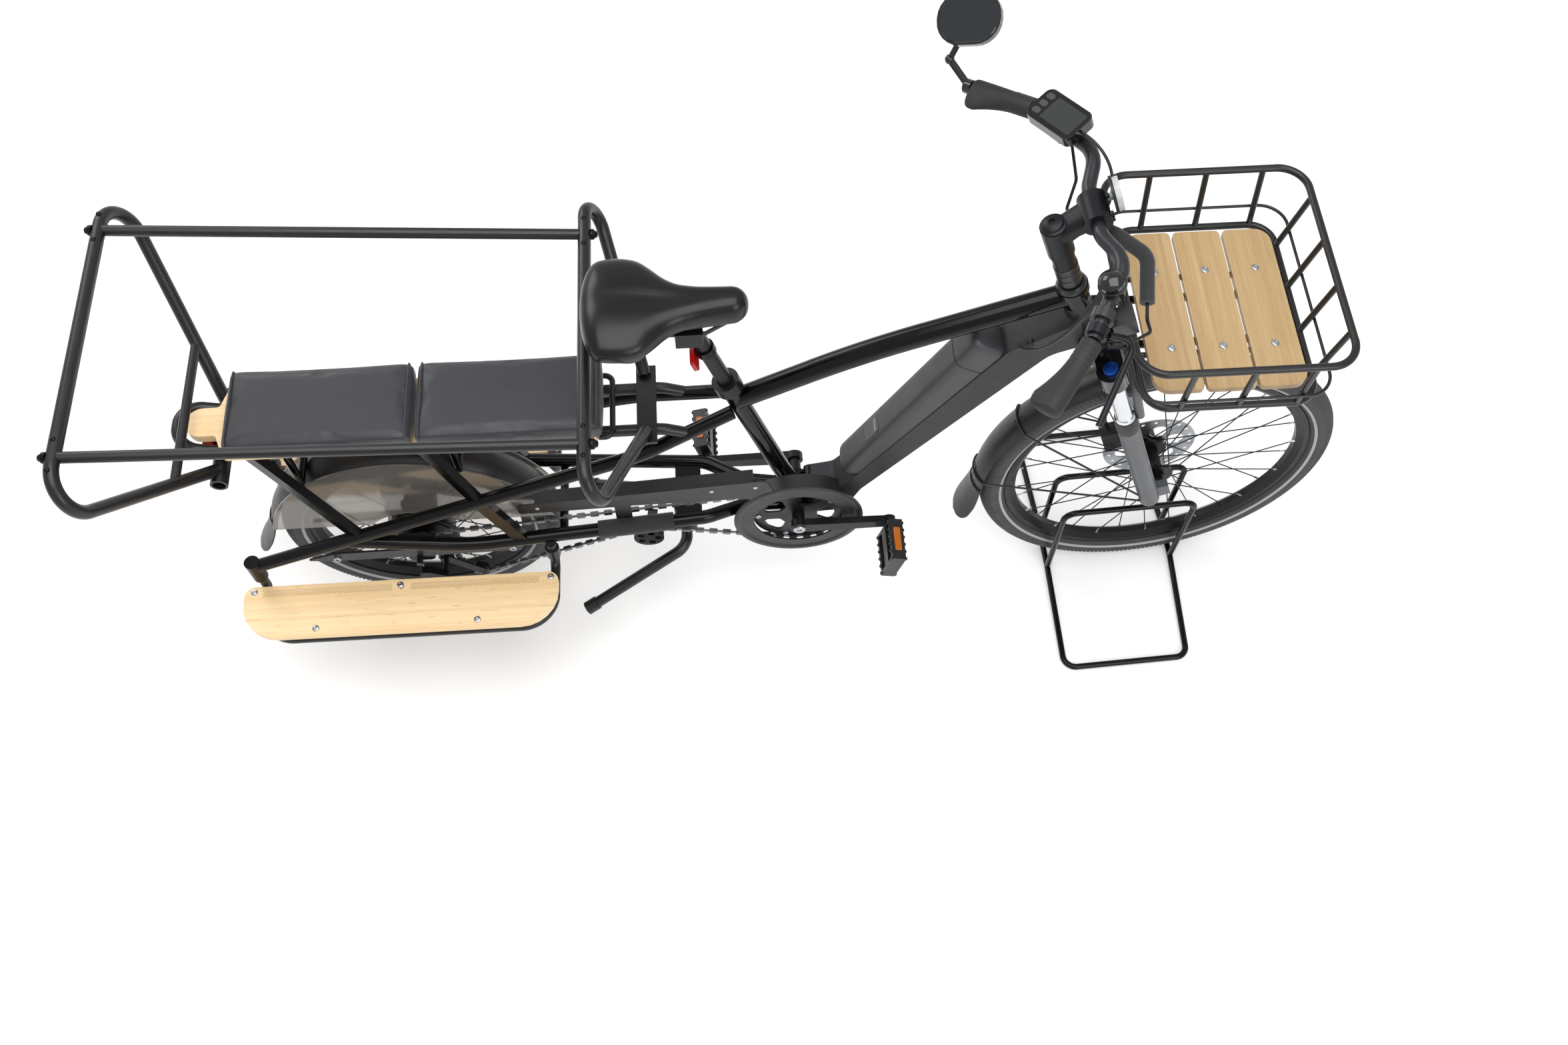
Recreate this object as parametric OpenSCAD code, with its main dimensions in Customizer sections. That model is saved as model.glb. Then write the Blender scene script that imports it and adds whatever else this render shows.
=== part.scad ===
// Longtail electric cargo bike: 26 inch front wheel, 20 inch rear wheel with a hub motor,
// long rear rack with two cushions, a safety bar, footboards and a front basket.
// X runs forward, Y to the left, Z up. The origin is the rear tyre's contact with the floor.

/* [Wheels] */
// Distance between the two axles along the bike
wheelbase = 1401; // [1385:1:1420]
// Outer radius of the front tyre
front_tyre_r = 333; // [328:1:338]
// Outer radius of the rear tyre
rear_tyre_r = 257; // [252:1:262]
// Width of the front tyre
front_tyre_w = 50; // [44:1:52]
// Width of the rear tyre
rear_tyre_w = 54; // [48:1:56]
// Height of a tyre above its rim edge
tyre_h = 46; // [42:1:50]
// Depth of a rim from its edge to the spoke bed
rim_h = 22; // [18:1:26]
// Width of a rim
rim_w = 30; // [26:1:34]
// Spokes in each wheel
spoke_count = 32; // [28:4:36]
// Radius of a spoke
spoke_r = 1.1; // [0.9:0.1:1.2]

/* [Front end] */
// Angle of the steering axis above the floor
head_angle = 70; // [69:0.5:71]
// Distance of the front axle ahead of the steering axis
fork_offset = 46; // [40:1:50]
// Angle the steering stands at, to the left
steer_rest = 2.5; // [0:0.5:3]
// Distance of a fork leg from the mid-plane
leg_y = 64; // [60:1:68]
// Distance of the fork legs ahead of the steering axis
leg_u = 22; // [18:1:26]
// Radius of a chromed stanchion
stanchion_r = 15; // [13:0.5:16]
// Radius of a fork lower leg
lower_r = 19; // [18:0.5:20]
// Height of the lower legs' tops along the steering axis
lower_top = 299; // [290:1:305]
// Height of the crown's underside along the steering axis
crown_w = 418; // [410:1:424]
// Height of the head tube's lower end along the steering axis
head_low = 478; // [474:1:484]
// Height of the head tube's upper end along the steering axis
head_top = 626; // [618:1:632]
// Radius of the head tube
head_r = 23; // [21:0.5:25]
// Height of the handlebar along the steering axis
bar_w = 782; // [776:1:790]
// Distance of the handlebar clamp ahead of the steering axis
bar_u = 62; // [54:1:70]
// Radius of the handlebar
bar_r = 11.1; // [10:0.1:12]

/* [Frame] */
// Bottom bracket's distance ahead of the rear axle
bb_x = 720; // [710:1:730]
// Bottom bracket's height above the floor
bb_z = 296; // [290:1:304]
// Angle of the seat tube above the floor
seat_angle = 72.5; // [72:0.5:73]
// Radius of the seat tube
seat_tube_r = 17; // [16:0.5:18]
// Radius of the seat post
seat_post_r = 13.6; // [12.7:0.1:14]
// Length of the seat tube from the bottom bracket to its top
seat_tube_len = 408; // [402:1:414]
// Radius of the top tube
top_tube_r = 19; // [17:0.5:21]
// Radius of the twin diagonal tubes
diagonal_r = 12.5; // [11:0.5:13.5]
// Radius of the chainstays
stay_r = 13; // [12:0.5:14]
// Width of the down tube
down_tube_w = 66; // [60:1:70]
// Width of the battery
battery_w = 64; // [58:1:66]

/* [Rack] */
// Radius of the rack rails
rail_r = 10; // [9:0.5:11]
// Distance of a rail from the mid-plane
rail_y = 42; // [40:1:46]
// Height of the rails above the floor
rail_z = 612; // [606:1:618]
// Width of the wooden deck
deck_w = 136; // [120:1:150]
// Thickness of the wooden deck
deck_t = 18; // [14:1:22]
// Width of a cushion
cushion_w = 152; // [140:1:160]
// Thickness of a cushion
cushion_t = 40; // [34:1:48]
// Length of a cushion
cushion_len = 309; // [300:1:312]
// Radius of the safety bar's loops
loop_r = 11; // [10:0.5:12]
// Radius of the safety bar's side rails
side_rail_r = 9; // [8:0.5:10]

/* [Footboards and basket] */
// Thickness of a footboard
board_t = 12; // [10:1:15]
// Width of a footboard
board_w = 106; // [96:1:112]
// Height of a footboard's top above the floor
board_z = 272; // [266:1:278]
// Radius of the footboard tubes
board_tube_r = 9; // [8:0.5:10]
// Radius of the basket's tubes
basket_r = 6; // [5:0.5:7]
// Height of the basket's rim above the floor
basket_rim_z = 930; // [920:1:940]
// Height of the basket's floor ring above the floor
basket_floor_z = 810; // [800:1:815]
// Thickness of a basket plank
plank_t = 10; // [8:1:12]

/* [Drive] */
// Length of a crank arm between its axes
crank_len = 170; // [165:1:175]
// Pitch radius of the chainring
chainring_r = 90; // [86:1:92]
// Distance of the chain from the mid-plane
chain_y = 49; // [48:0.5:50]
// Outer radius of the chain guard's ring
guard_r = 122; // [118:1:126]
// Radius of the hub motor
motor_r = 72; // [66:1:78]

/* [Stands] */
// Radius of the wire of the wheel stand
wire_r = 6; // [5:0.5:7]
// Distance of the wheel stand's hoops from the wheel's mid-plane
hoop_y = 41; // [40:1:44]
// Radius of the folding stand's legs
kick_r = 11; // [10:0.5:12]

/* [Hidden] */
$fn = 48;

// Colours
black_paint = "#1c1c1e";
graphite = "#3a3a3c";
rubber = "#202022";
bamboo = "#d9b27c";
vinyl = "#232428";
silver = "#b8b8ba";
smoke = "#4a4743";
red_lens = "#a01818";

// Gap left between welded or seated pieces
seat_gap = 0.3;
// Length by which a cutting body passes the faces it cuts
cut = 1;
// Length by which a straight tube enters its bends, and how much thicker a bend is
lap = 1;
bend_swell = 0.15;

rear_axle = [0, 0, rear_tyre_r];
front_axle = [wheelbase, 0, front_tyre_r];
bottom_bracket = [bb_x, 0, bb_z];

// Steering frame: u forward of the steering axis, v to the left, w up along the axis
tilt = 90 - head_angle;
steer_forward = [sin(head_angle), 0, cos(head_angle)];
steer_up = [-cos(head_angle), 0, sin(head_angle)];
steer_foot = front_axle - fork_offset * steer_forward;
function on_axis(w, u = 0) = steer_foot + u * steer_forward + w * steer_up;
seat_up = [-cos(seat_angle), 0, sin(seat_angle)];
function on_seat(s) = bottom_bracket + s * seat_up;

// Vector helpers
function unit(v) = v / norm(v);
function flip(p, side) = [p[0], p[1] * side, p[2]];
function flip_path(path, side) = [for (p = path) flip(p, side)];
function bend_at(bend, i) = is_list(bend) ? bend[i] : bend;
function turn(a, b, c) = acos(max(-1, min(1, unit(b - a) * unit(c - b))));
function setback(path, i, bend) =
    (i == 0 || i == len(path) - 1) ? 0 : bend_at(bend, i) * tan(turn(path[i - 1], path[i], path[i + 1]) / 2);

// Children's Z axis runs from a towards d
module aim(a, d) {
    translate(a) rotate([0, acos(unit(d)[2]), atan2(d[1], d[0])]) children();
}

module rod(a, b, r) {
    aim(a, b - a) cylinder(h = norm(b - a), r = r);
}

// Round elbow that joins the tubes a-b and b-c with a bend of radius bend
module elbow(a, b, c, bend, r) {
    d = unit(b - a);
    e = unit(c - b);
    angle = turn(a, b, c);
    side = unit(e - (d * e) * d);
    start = b - d * bend * tan(angle / 2);
    middle = start + bend * side;
    n = cross(-side, d);
    multmatrix([[-side[0], d[0], n[0], middle[0]], [-side[1], d[1], n[1], middle[1]],
                [-side[2], d[2], n[2], middle[2]], [0, 0, 0, 1]])
        rotate_extrude(angle = angle) translate([bend, 0]) circle(r + bend_swell);
}

// Tube of radius r along a path whose corners are bent to a radius, or to a list of radii
module bent_tube(path, bend, r) {
    last = len(path) - 1;
    for (i = [0:last - 1]) {
        d = unit(path[i + 1] - path[i]);
        from = setback(path, i, bend) - (i > 0 ? lap : 0);
        to = setback(path, i + 1, bend) - (i + 1 < last ? lap : 0);
        rod(path[i] + d * from, path[i + 1] - d * to, r);
    }
    if (last > 1) for (i = [1:last - 1])
        elbow(path[i - 1], path[i], path[i + 1], bend_at(bend, i), r);
}

// Closed tube through the corners of a loop
module bent_loop(path, bend, r) {
    n = len(path);
    for (i = [0:n - 1]) {
        a = path[(i + n - 1) % n];
        b = path[i];
        c = path[(i + 1) % n];
        e = path[(i + 2) % n];
        d = unit(c - b);
        from = bend_at(bend, i) * tan(turn(a, b, c) / 2) - lap;
        to = bend_at(bend, (i + 1) % n) * tan(turn(b, c, e) / 2) - lap;
        rod(b + d * from, c - d * to, r);
        elbow(a, b, c, bend_at(bend, i), r);
    }
}

// Rod across the bike at a place in X and Z, reaching half to each side
module cross_rod(at, half, r) {
    translate([at[0], half, at[1]]) rotate([90, 0, 0]) cylinder(h = 2 * half, r = r);
}

// Bar of rectangular section, deep by wide, between two points
module bar(a, b, deep, wide) {
    aim(a, b - a) translate([-deep / 2, -wide / 2, 0]) cube([deep, wide, norm(b - a)]);
}

// Points of an outline whose corners are rounded: each corner is [x, y, radius]
function rounded(corners, steps = 6) = [
    for (i = [0:len(corners) - 1])
        let (n = len(corners),
             p = [corners[i][0], corners[i][1]],
             a = unit([corners[(i + n - 1) % n][0], corners[(i + n - 1) % n][1]] - p),
             b = unit([corners[(i + 1) % n][0], corners[(i + 1) % n][1]] - p),
             half = acos(max(-1, min(1, a * b))) / 2,
             middle = p + unit(a + b) * corners[i][2] / sin(half),
             from = p + a * corners[i][2] / tan(half) - middle,
             to = p + b * corners[i][2] / tan(half) - middle,
             first = atan2(from[1], from[0]),
             swing = let (s = atan2(to[1], to[0]) - first) s > 180 ? s - 360 : s < -180 ? s + 360 : s)
        for (k = [0:steps]) middle + corners[i][2] * [cos(first + swing * k / steps),
            sin(first + swing * k / steps)]
];

// Upright plate: outline in X and Z, spread along Y from y0 to y1
// Outline of a box long and wide about its middle, with rounded corners
function round_box(long, wide, r) = rounded([for (c = [[-1, -1], [1, -1], [1, 1], [-1, 1]])
    [c[0] * long / 2, c[1] * wide / 2, r]]);

module side_plate(outline, y0, y1) {
    translate([0, y1, 0]) rotate([90, 0, 0]) linear_extrude(y1 - y0) polygon(outline);
}

// Both sides of the bike
module both() {
    children();
    mirror([0, 1, 0]) children();
}

// Piece in the steering frame, turned to the angle the steering stands at
module steered() {
    translate(steer_foot) rotate([0, -tilt, 0]) rotate([0, 0, steer_rest]) children();
}

// Piece of the front wheel: its axle lies along Y through the local origin
module on_front_axle() {
    steered() translate([fork_offset, 0, 0]) children();
}

// Main frame

head_bore_r = 16;
steerer_r = 14.3;
cup_r = head_r + 3;
cup_h = 12;
top_tube_head_w = head_top - 22;
down_tube_head_w = head_low + 40;
top_tube_drop = 58;
top_tube_path = [on_axis(top_tube_head_w), [831, 0, 754], on_seat(seat_tube_len - top_tube_drop)];
bb_shell_r = 24;
bb_shell_half = 37;
bb_bore_r = 17;
// Side outline of the down tube: corners in X and Z with their radii, from the bottom bracket up
down_tube_outline = rounded([
    [bb_x + 20, bb_z - 26, 12], [bb_x + 88, bb_z - 20, 16], [bb_x + 118, bb_z + 54, 30],
    [1128, 762, 60], [on_axis(down_tube_head_w)[0], on_axis(down_tube_head_w)[2] - 20, 4],
    [on_axis(down_tube_head_w + 46)[0], on_axis(down_tube_head_w + 46)[2], 4],
    [1058, 775, 30], [820, 390, 40], [bb_x + 70, bb_z + 52, 20], [bb_x + 14, bb_z + 40, 10]]);

module top_tube(grow = 0) {
    bent_tube(top_tube_path, 1500, top_tube_r + grow);
}

module seat_tube(grow = 0) {
    rod(on_seat(0), on_seat(seat_tube_len), seat_tube_r + grow);
}

module bb_shell(grow = 0) {
    cross_rod([bb_x, bb_z], bb_shell_half + grow, bb_shell_r + grow);
}

module down_tube(grow = 0) {
    side_plate(down_tube_outline, -down_tube_w / 2 - grow, down_tube_w / 2 + grow);
}

module head_tube(grow = 0) {
    rod(on_axis(head_low), on_axis(head_top), head_r + grow);
    rod(on_axis(head_low), on_axis(head_low + cup_h), cup_r + grow);
    rod(on_axis(head_top - cup_h), on_axis(head_top), cup_r + grow);
}

module front_frame() color(black_paint) difference() {
    union() {
        head_tube();
        top_tube();
        seat_tube();
        bb_shell();
        down_tube();
    }
    rod(on_axis(head_low - cut), on_axis(head_top + cut), head_bore_r);
    rod(on_seat(seat_tube_len - 190), on_seat(seat_tube_len + cut), seat_post_r + seat_gap);
    cross_rod([bb_x, bb_z], bb_shell_half + cut, bb_bore_r);
}

// Battery case seated on the down tube
battery_outline = rounded([
    [822, 398, 6], [1050, 768, 8], [1004, 800, 16], [976, 742, 24], [796, 404, 14]]);

module battery() color(graphite) difference() {
    side_plate(battery_outline, -battery_w / 2, battery_w / 2);
    down_tube(cut);
}

// Diagonal tubes from the seat cluster to the sockets of the footboards
diagonal_front = [606, -22, 622];
diagonal_knee = [440, -62, 560];
diagonal_rear = [-283, -120, 334];
diagonal_path = [diagonal_front, diagonal_knee, diagonal_rear];
diagonal_bend = 400;
socket_r = 14;
socket_low = 296;
socket_top = 352;
socket_depth = 40;

module diagonal_tubes(grow = 0) {
    for (side = [1, -1]) bent_tube(flip_path(diagonal_path, side), diagonal_bend, diagonal_r + grow);
}

module diagonals() color(black_paint) difference() {
    union() {
        diagonal_tubes();
        both() translate([diagonal_rear[0], diagonal_rear[1], socket_low])
            cylinder(h = socket_top - socket_low, r = socket_r);
    }
    seat_tube(seat_gap);
    top_tube(seat_gap);
    both() translate([diagonal_rear[0], diagonal_rear[1], socket_low - cut])
        cylinder(h = socket_depth + cut, r = board_tube_r + seat_gap);
}

// Chainstays with the dropouts that carry the rear axle
stay_z = 322;
stay_path = [[bb_x - 20, -22, bb_z - 4], [bb_x - 98, -27, bb_z + 8], [548, -60, stay_z], [110, -92, stay_z],
    [-96, -105, 386]];
stay_run = stay_path[3] - stay_path[2];
stay_bends = [0, 60, 60, 300, 0];
dropout_y = 68;
dropout_t = 8;
axle_r = 6;
dropout_outline = rounded([[-22, rear_tyre_r - 17, 12], [26, rear_tyre_r - 17, 12], [44, 332, 6],
    [-26, 336, 6]]);
fender_gap = 16;
fender_t = 2.5;
rear_fender_r = rear_tyre_r + fender_gap + fender_t;
bridge_r = 8;
bridge_drop = 14;
// Height and distance ahead of the axle of a cross tube that touches the fender at a given rise
function fender_seat(rise, r) = [sqrt(pow(rear_fender_r + r + seat_gap, 2) - rise * rise),
    rear_tyre_r + rise];
stay_bridge = fender_seat(stay_z - bridge_drop - rear_tyre_r, bridge_r);

module stay_tubes(grow = 0) {
    for (side = [1, -1]) bent_tube(flip_path(stay_path, side), stay_bends, stay_r + grow);
}

module chainstays() color(black_paint) difference() {
    union() {
        stay_tubes();
        both() {
            side_plate(dropout_outline, -dropout_y - dropout_t, -dropout_y);
            translate([-20, -dropout_y - 22, 314]) cube([60, 22, 18]);
        }
        cross_rod(stay_bridge, 76, bridge_r);
    }
    bb_shell(seat_gap);
    down_tube(seat_gap);
    diagonal_tubes(seat_gap);
    cross_rod([0, rear_tyre_r], 100, axle_r + seat_gap);
}

// Rack rails: one tube from socket to socket round the rear end
rail_front = [524, -rail_y, 596];
rail_turn = [486, -rail_y, rail_z];
rail_rise = [-262, -rail_y, rail_z];
rail_back = [-331, -rail_y, rail_z + 20];
rail_half = [rail_front, rail_turn, rail_rise, rail_back];
rail_path = concat(rail_half, [for (i = [3:-1:0]) flip(rail_half[i], -1)]);
rail_bends = [0, 60, 60, 38, 38, 60, 60, 0];

module rails(grow = 0) {
    bent_tube(rail_path, rail_bends, rail_r + grow);
}

module rack_rails() color(black_paint) difference() {
    rails();
    diagonal_tubes(seat_gap);
}

// Slanted struts, each from its head on a rail or tube to its foot
strut_deep = 24;
strut_wide = 16;
struts = [[[-222, -rail_y, rail_z], [-76, -103, 399]],
          [[66, -rail_y, rail_z], [150, -85, 469]],
          [[150, -85, 469], [206, -85, 322]]];
// Round posts that hang the fender from the rails: rise of their cross tubes above the axle
post_rises = [[-1, 232], [1, 256]];
post_r = 7;
post_y = rail_y - 4;

module rack_struts() color(black_paint) difference() {
    union() {
        for (side = [1, -1], s = struts) bar(flip(s[0], side), flip(s[1], side), strut_deep, strut_wide);
        for (p = post_rises) {
            seat = fender_seat(p[1], post_r);
            cross_rod([p[0] * seat[0], seat[1]], post_y + post_r, post_r);
            for (side = [1, -1])
                rod([p[0] * seat[0], side * post_y, seat[1]], [p[0] * seat[0], side * post_y, rail_z],
                    post_r + bend_swell);
        }
    }
    rails(seat_gap);
    diagonal_tubes(seat_gap);
    stay_tubes(seat_gap);
}

// Wooden deck on the rails, narrow and rounded between them at the rear
deck_low = rail_z + rail_r + seat_gap;
deck_top = deck_low + deck_t;
deck_rear = -315;
deck_front = 378;
deck_neck = [-262, -248];
deck_tongue_y = rail_y - rail_r - 4;
deck_half = [[deck_rear, -deck_tongue_y, 26], [deck_neck[0], -deck_tongue_y, 8], [deck_neck[1],
    -deck_w / 2, 8],
    [deck_front, -deck_w / 2, 10]];
deck_outline = rounded(concat(deck_half, [for (i = [3:-1:0]) [deck_half[i][0], -deck_half[i][1],
    deck_half[i][2]]]));

module rack_deck() color(bamboo) translate([0, 0, deck_low]) linear_extrude(deck_t) polygon(deck_outline);

// Small hoop across the rails in front of the deck
hoop_rod_r = 5;
hoop_z = rail_z + rail_r + seat_gap + hoop_rod_r;
hoop_rod_y = 62;
hoop_rod_x = 402;

module rack_hoop() color(black_paint)
    bent_tube([[deck_front + seat_gap, -hoop_rod_y, hoop_z], [hoop_rod_x, -hoop_rod_y, hoop_z],
               [hoop_rod_x, hoop_rod_y, hoop_z], [deck_front + seat_gap, hoop_rod_y, hoop_z]],
                   14, hoop_rod_r);

// Cushions
cushion_low = deck_top + seat_gap;
cushion_gap = 8;
cushion_front_end = 387;
cushion_corner = 20;

module cushion(x0) color(vinyl) translate([x0, 0, cushion_low]) linear_extrude(cushion_t)
    polygon(rounded([for (c = [[0, -1], [1, -1], [1, 1], [0, 1]])
        [c[0] * cushion_len, c[1] * cushion_w / 2, cushion_corner]]));

module cushion_rear() cushion(cushion_front_end - 2 * cushion_len - cushion_gap);
module cushion_front() cushion(cushion_front_end - cushion_len);

// Safety bar: rear loop on a cross tube under the rails, front loop on a bracket over them
cross_tube_x = -266;
cross_tube_r = 15;
cross_tube_bore_r = 11;
cross_tube_half = 94;
cross_tube_z = rail_z - rail_r - seat_gap - cross_tube_r;
rear_loop_half = [[-267, -64, cross_tube_z + 4], [-392, -329, 890]];
front_loop_half = [[458, -58, 632], [378, -352, 836]];
rear_loop_bend = 50;
front_loop_bend = 38;
side_rail_y = [212, 202];
brace_z = 676;
rear_leg = rear_loop_half[1] - rear_loop_half[0];
rear_brace = rear_loop_half[0] + rear_leg * (brace_z - rear_loop_half[0][2]) / rear_leg[2];
brace_r = 8;
bracket_t = 6;
bracket_half = 78;
bracket_x = [443, 477];

function loop_path(half) = [half[0], half[1], flip(half[1], -1), flip(half[0], -1)];

module rear_loop_tube(grow = 0) {
    bent_tube(loop_path(rear_loop_half), rear_loop_bend, loop_r + grow);
}

module front_loop_tube(grow = 0) {
    bent_tube(loop_path(front_loop_half), front_loop_bend, loop_r + grow);
}

module safety_rear_loop() color(black_paint) difference() {
    union() {
        rear_loop_tube();
        rod(flip(rear_brace, -1), rear_brace, brace_r);
        cross_rod([cross_tube_x, cross_tube_z], cross_tube_half, cross_tube_r);
    }
    cross_rod([cross_tube_x, cross_tube_z], cross_tube_half + cut, cross_tube_bore_r);
    rails(seat_gap);
}

module safety_front_loop() color(black_paint) {
    front_loop_tube();
    translate([bracket_x[0], -bracket_half, rail_z + rail_r + seat_gap])
        cube([bracket_x[1] - bracket_x[0], 2 * bracket_half, bracket_t]);
}

module safety_rails() color(black_paint) difference() {
    for (side = [1, -1])
        rod([rear_loop_half[1][0], side * side_rail_y[0], rear_loop_half[1][2]],
            [front_loop_half[1][0], side * side_rail_y[1], front_loop_half[1][2]], side_rail_r);
    rear_loop_tube(seat_gap);
    front_loop_tube(seat_gap);
}

// Footboards on bent tubes between the sockets and the chainstays
board_rear = -318;
board_front = 264;
board_inner_y = -131;
board_outer_y = board_inner_y - board_w;
board_low = board_z - board_t;
board_outline = rounded([[board_rear, board_inner_y, 20], [board_front, board_inner_y, 20],
    [board_front, board_outer_y, 70], [board_rear, board_outer_y, 70]]);
board_tube_z = board_low - seat_gap - board_tube_r;
board_tube_y = board_outer_y + 6;
board_tube_front = board_front - 8;
board_tube_in = -98;
board_tube_path = [[diagonal_rear[0], diagonal_rear[1], socket_low + socket_depth - seat_gap],
    [diagonal_rear[0], diagonal_rear[1], board_tube_z], [diagonal_rear[0], board_tube_y, board_tube_z],
    [board_tube_front, board_tube_y, board_tube_z], [board_tube_front, board_tube_in, board_tube_z],
    [board_tube_front, board_tube_in, stay_z]];
board_bends = [0, 11, 62, 62, 20, 0];
// Sleeve round the front end of a tube, under the chainstay
board_sleeve_r = 13;
board_sleeve_z = [278, 306];

module footboard_frames() color(black_paint) difference() {
    union() {
        for (side = [1, -1]) bent_tube(flip_path(board_tube_path, side), board_bends, board_tube_r);
        both() translate([board_tube_front, board_tube_in, board_sleeve_z[0]])
            cylinder(h = board_sleeve_z[1] - board_sleeve_z[0], r = board_sleeve_r);
    }
    stay_tubes(seat_gap);
}

module footboards() color(bamboo) both() translate([0, 0, board_low]) linear_extrude(board_t)
    polygon(board_outline);

// Rear fender and the smoked dress guards on its edges
rear_fender_w = 66;
rear_fender_span = 205;
fender_crown_r = 48;

// Curved cross-section of a fender whose crown lies at radius top
module fender_profile(top, width) intersection() {
    translate([top - fender_crown_r, 0]) difference() {
        circle(fender_crown_r);
        circle(fender_crown_r - fender_t);
    }
    translate([top - fender_crown_r, -width / 2]) square([2 * fender_crown_r, width]);
}

// Flap at the end of a fender: from inside its crown at radius top and angle turn, leaning out as it hangs
flap_t = 3;
flap_len = 78;
flap_half = 27;
flap_lean = 26;

module fender_flap(top, turn) rotate([90, 0, 0]) rotate([0, 0, turn])
    linear_extrude(2 * flap_half, center = true)
    polygon(rounded([[top - fender_t, -8, 0.5], [top - fender_t + flap_t, -8, 0.5],
        [top + flap_t, 14, 12], [top + flap_lean + flap_t, flap_len, 1], [top + flap_lean, flap_len, 1],
            [top - 0.5, 16, 12]]));

module rear_fender() color(black_paint) translate(rear_axle) {
    rotate([90, 0, 0]) rotate_extrude(angle = rear_fender_span) fender_profile(rear_fender_r, rear_fender_w);
    fender_flap(rear_fender_r, rear_fender_span);
}

dress_t = 3;
dress_low = 318;
dress_inner_r = 98;

module dress_guards() color(smoke) both() intersection() {
    translate([0, -rear_fender_w / 2 - seat_gap, rear_tyre_r]) rotate([90, 0, 0]) difference() {
        cylinder(h = dress_t, r = rear_fender_r - 6);
        translate([0, 0, -cut]) cylinder(h = dress_t + 2 * cut, r = dress_inner_r);
    }
    translate([-rear_fender_r, -rear_fender_w, dress_low])
        cube([2 * rear_fender_r, rear_fender_w, rear_fender_r]);
}

lamp_size = [18, 56, 26];

module tail_lamp() color(red_lens)
    translate([cross_tube_x - cross_tube_r - seat_gap - lamp_size[0],
        -lamp_size[1] / 2, cross_tube_z - lamp_size[2] / 2])
        cube(lamp_size);

// Drive

chain_r = 4;
cog_r = 34;
pulley_r = 20;
upper_pulley = [38, 204];
lower_pulley = [95, 146];
idler = [433, 240];
idler_r = 34;
mesh_gap = 0.8;
// Wheels of the chain in its running order: centre, radius at the chain's middle and +1 where it turns
// clockwise
chain_wheels = [[[bb_x, bb_z], chainring_r, 1], [idler, idler_r, -1], [lower_pulley, pulley_r, 1],
    [upper_pulley, pulley_r, -1], [[0, rear_tyre_r], cog_r, 1]];
chain_count = len(chain_wheels);
function next_wheel(i) = chain_wheels[(i + 1) % chain_count];
// Heading of the straight run from wheel i to the next, in degrees
function run_heading(i) = let (a = chain_wheels[i], b = next_wheel(i), d = b[0] - a[0])
    atan2(d[1], d[0]) + asin((b[2] * b[1] - a[2] * a[1]) / norm(d));
// Point where two lines that touch wheel w, with headings g and h, cross
function touch_point(w, g, h) = let (m = [-sin(g), cos(g)], n = [-sin(h), cos(h)],
    k = w[0] * m + w[2] * w[1], l = w[0] * n + w[2] * w[1], det = m[0] * n[1] - m[1] * n[0])
    [(k * n[1] - l * m[1]) / det, -chain_y, (m[0] * l - n[0] * k) / det];
// Turn from heading g to heading h, kept between 0 and 360 in the wheel's sense
function wheel_turn(g, h, sense) = ((sense > 0 ? g - h : h - g) + 720) % 360;
// Corners of the chain at wheel i: two where it wraps a wheel, one where it only bends over it
function wheel_corners(i) = let (w = chain_wheels[i], g = run_heading((i + chain_count - 1) % chain_count),
    h = run_heading(i), half = g - w[2] * wheel_turn(g, h, w[2]) / 2)
    w[2] > 0 ? [touch_point(w, g, half), touch_point(w, half, h)] : [touch_point(w, g, h)];
chain_path = [for (i = [0:chain_count - 1]) each wheel_corners(i)];
chain_bends = [for (w = chain_wheels) each w[2] > 0 ? [w[1], w[1]] : [w[1]]];

// Outer links: a block on every second pitch, along the arcs and the straight runs
chain_pitch = 12.7;
chain_core_r = 2.4;
link_len = 15;
link_deep = 8;
link_wide = 7.4;
function along(g) = [cos(g), 0, sin(g)];
function rim_point(w, g) = [w[0][0] - w[2] * w[1] * sin(g), -chain_y, w[0][1] + w[2] * w[1] * cos(g)];
function arc_links(w, g, swing) = let (n = max(1, round(w[1] * swing * PI / 180 / chain_pitch / 2)))
    [for (k = [0:n - 1]) let (h = g - w[2] * swing * (k + 0.5) / n) [rim_point(w, h), along(h)]];
function run_links(a, b, g) = let (n = max(1, round(norm(b - a) / chain_pitch / 2)))
    [for (k = [0:n - 1]) [a + (b - a) * (k + 0.5) / n, along(g)]];
chain_links = [for (i = [0:chain_count - 1]) let (w = chain_wheels[i],
    g = run_heading((i + chain_count - 1) % chain_count),
    h = run_heading(i)) each concat(arc_links(w, g, wheel_turn(g, h, w[2])), run_links(rim_point(w, h),
        rim_point(next_wheel(i), h), h))];

module chain() color(silver) {
    bent_loop(chain_path, chain_bends, chain_core_r);
    for (l = chain_links) bar(l[0] - l[1] * link_len / 2, l[0] + l[1] * link_len / 2, link_deep, link_wide);
}

crank_axle_r = 12;
chainring_t = 4;

// Window between two arms of the spider: distance from the axle and width at its inner and outer end
window_r = [36, 70];
window_half = [10, 29];
window_outline = rounded([[window_r[0], -window_half[0], 6], [window_r[1] - 8, -window_half[1], 8],
    [window_r[1], 0, 30],
    [window_r[1] - 8, window_half[1], 8], [window_r[0], window_half[0], 6]]);

module chainring() color(black_paint) translate([bb_x, -chain_y + chainring_t / 2, bb_z])
    rotate([90, 0, 0]) difference() {
    cylinder(h = chainring_t, r = chainring_r - chain_r - bend_swell - mesh_gap);
    for (i = [0:4]) rotate(i * 72) translate([0, 0, -cut]) linear_extrude(chainring_t + 2 * cut)
        polygon(window_outline);
    translate([0, 0, -cut]) cylinder(h = chainring_t + 2 * cut, r = crank_axle_r + seat_gap);
}

crank_half = [14, 10];
crank_t = 14;
crank_y = 75;

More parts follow.
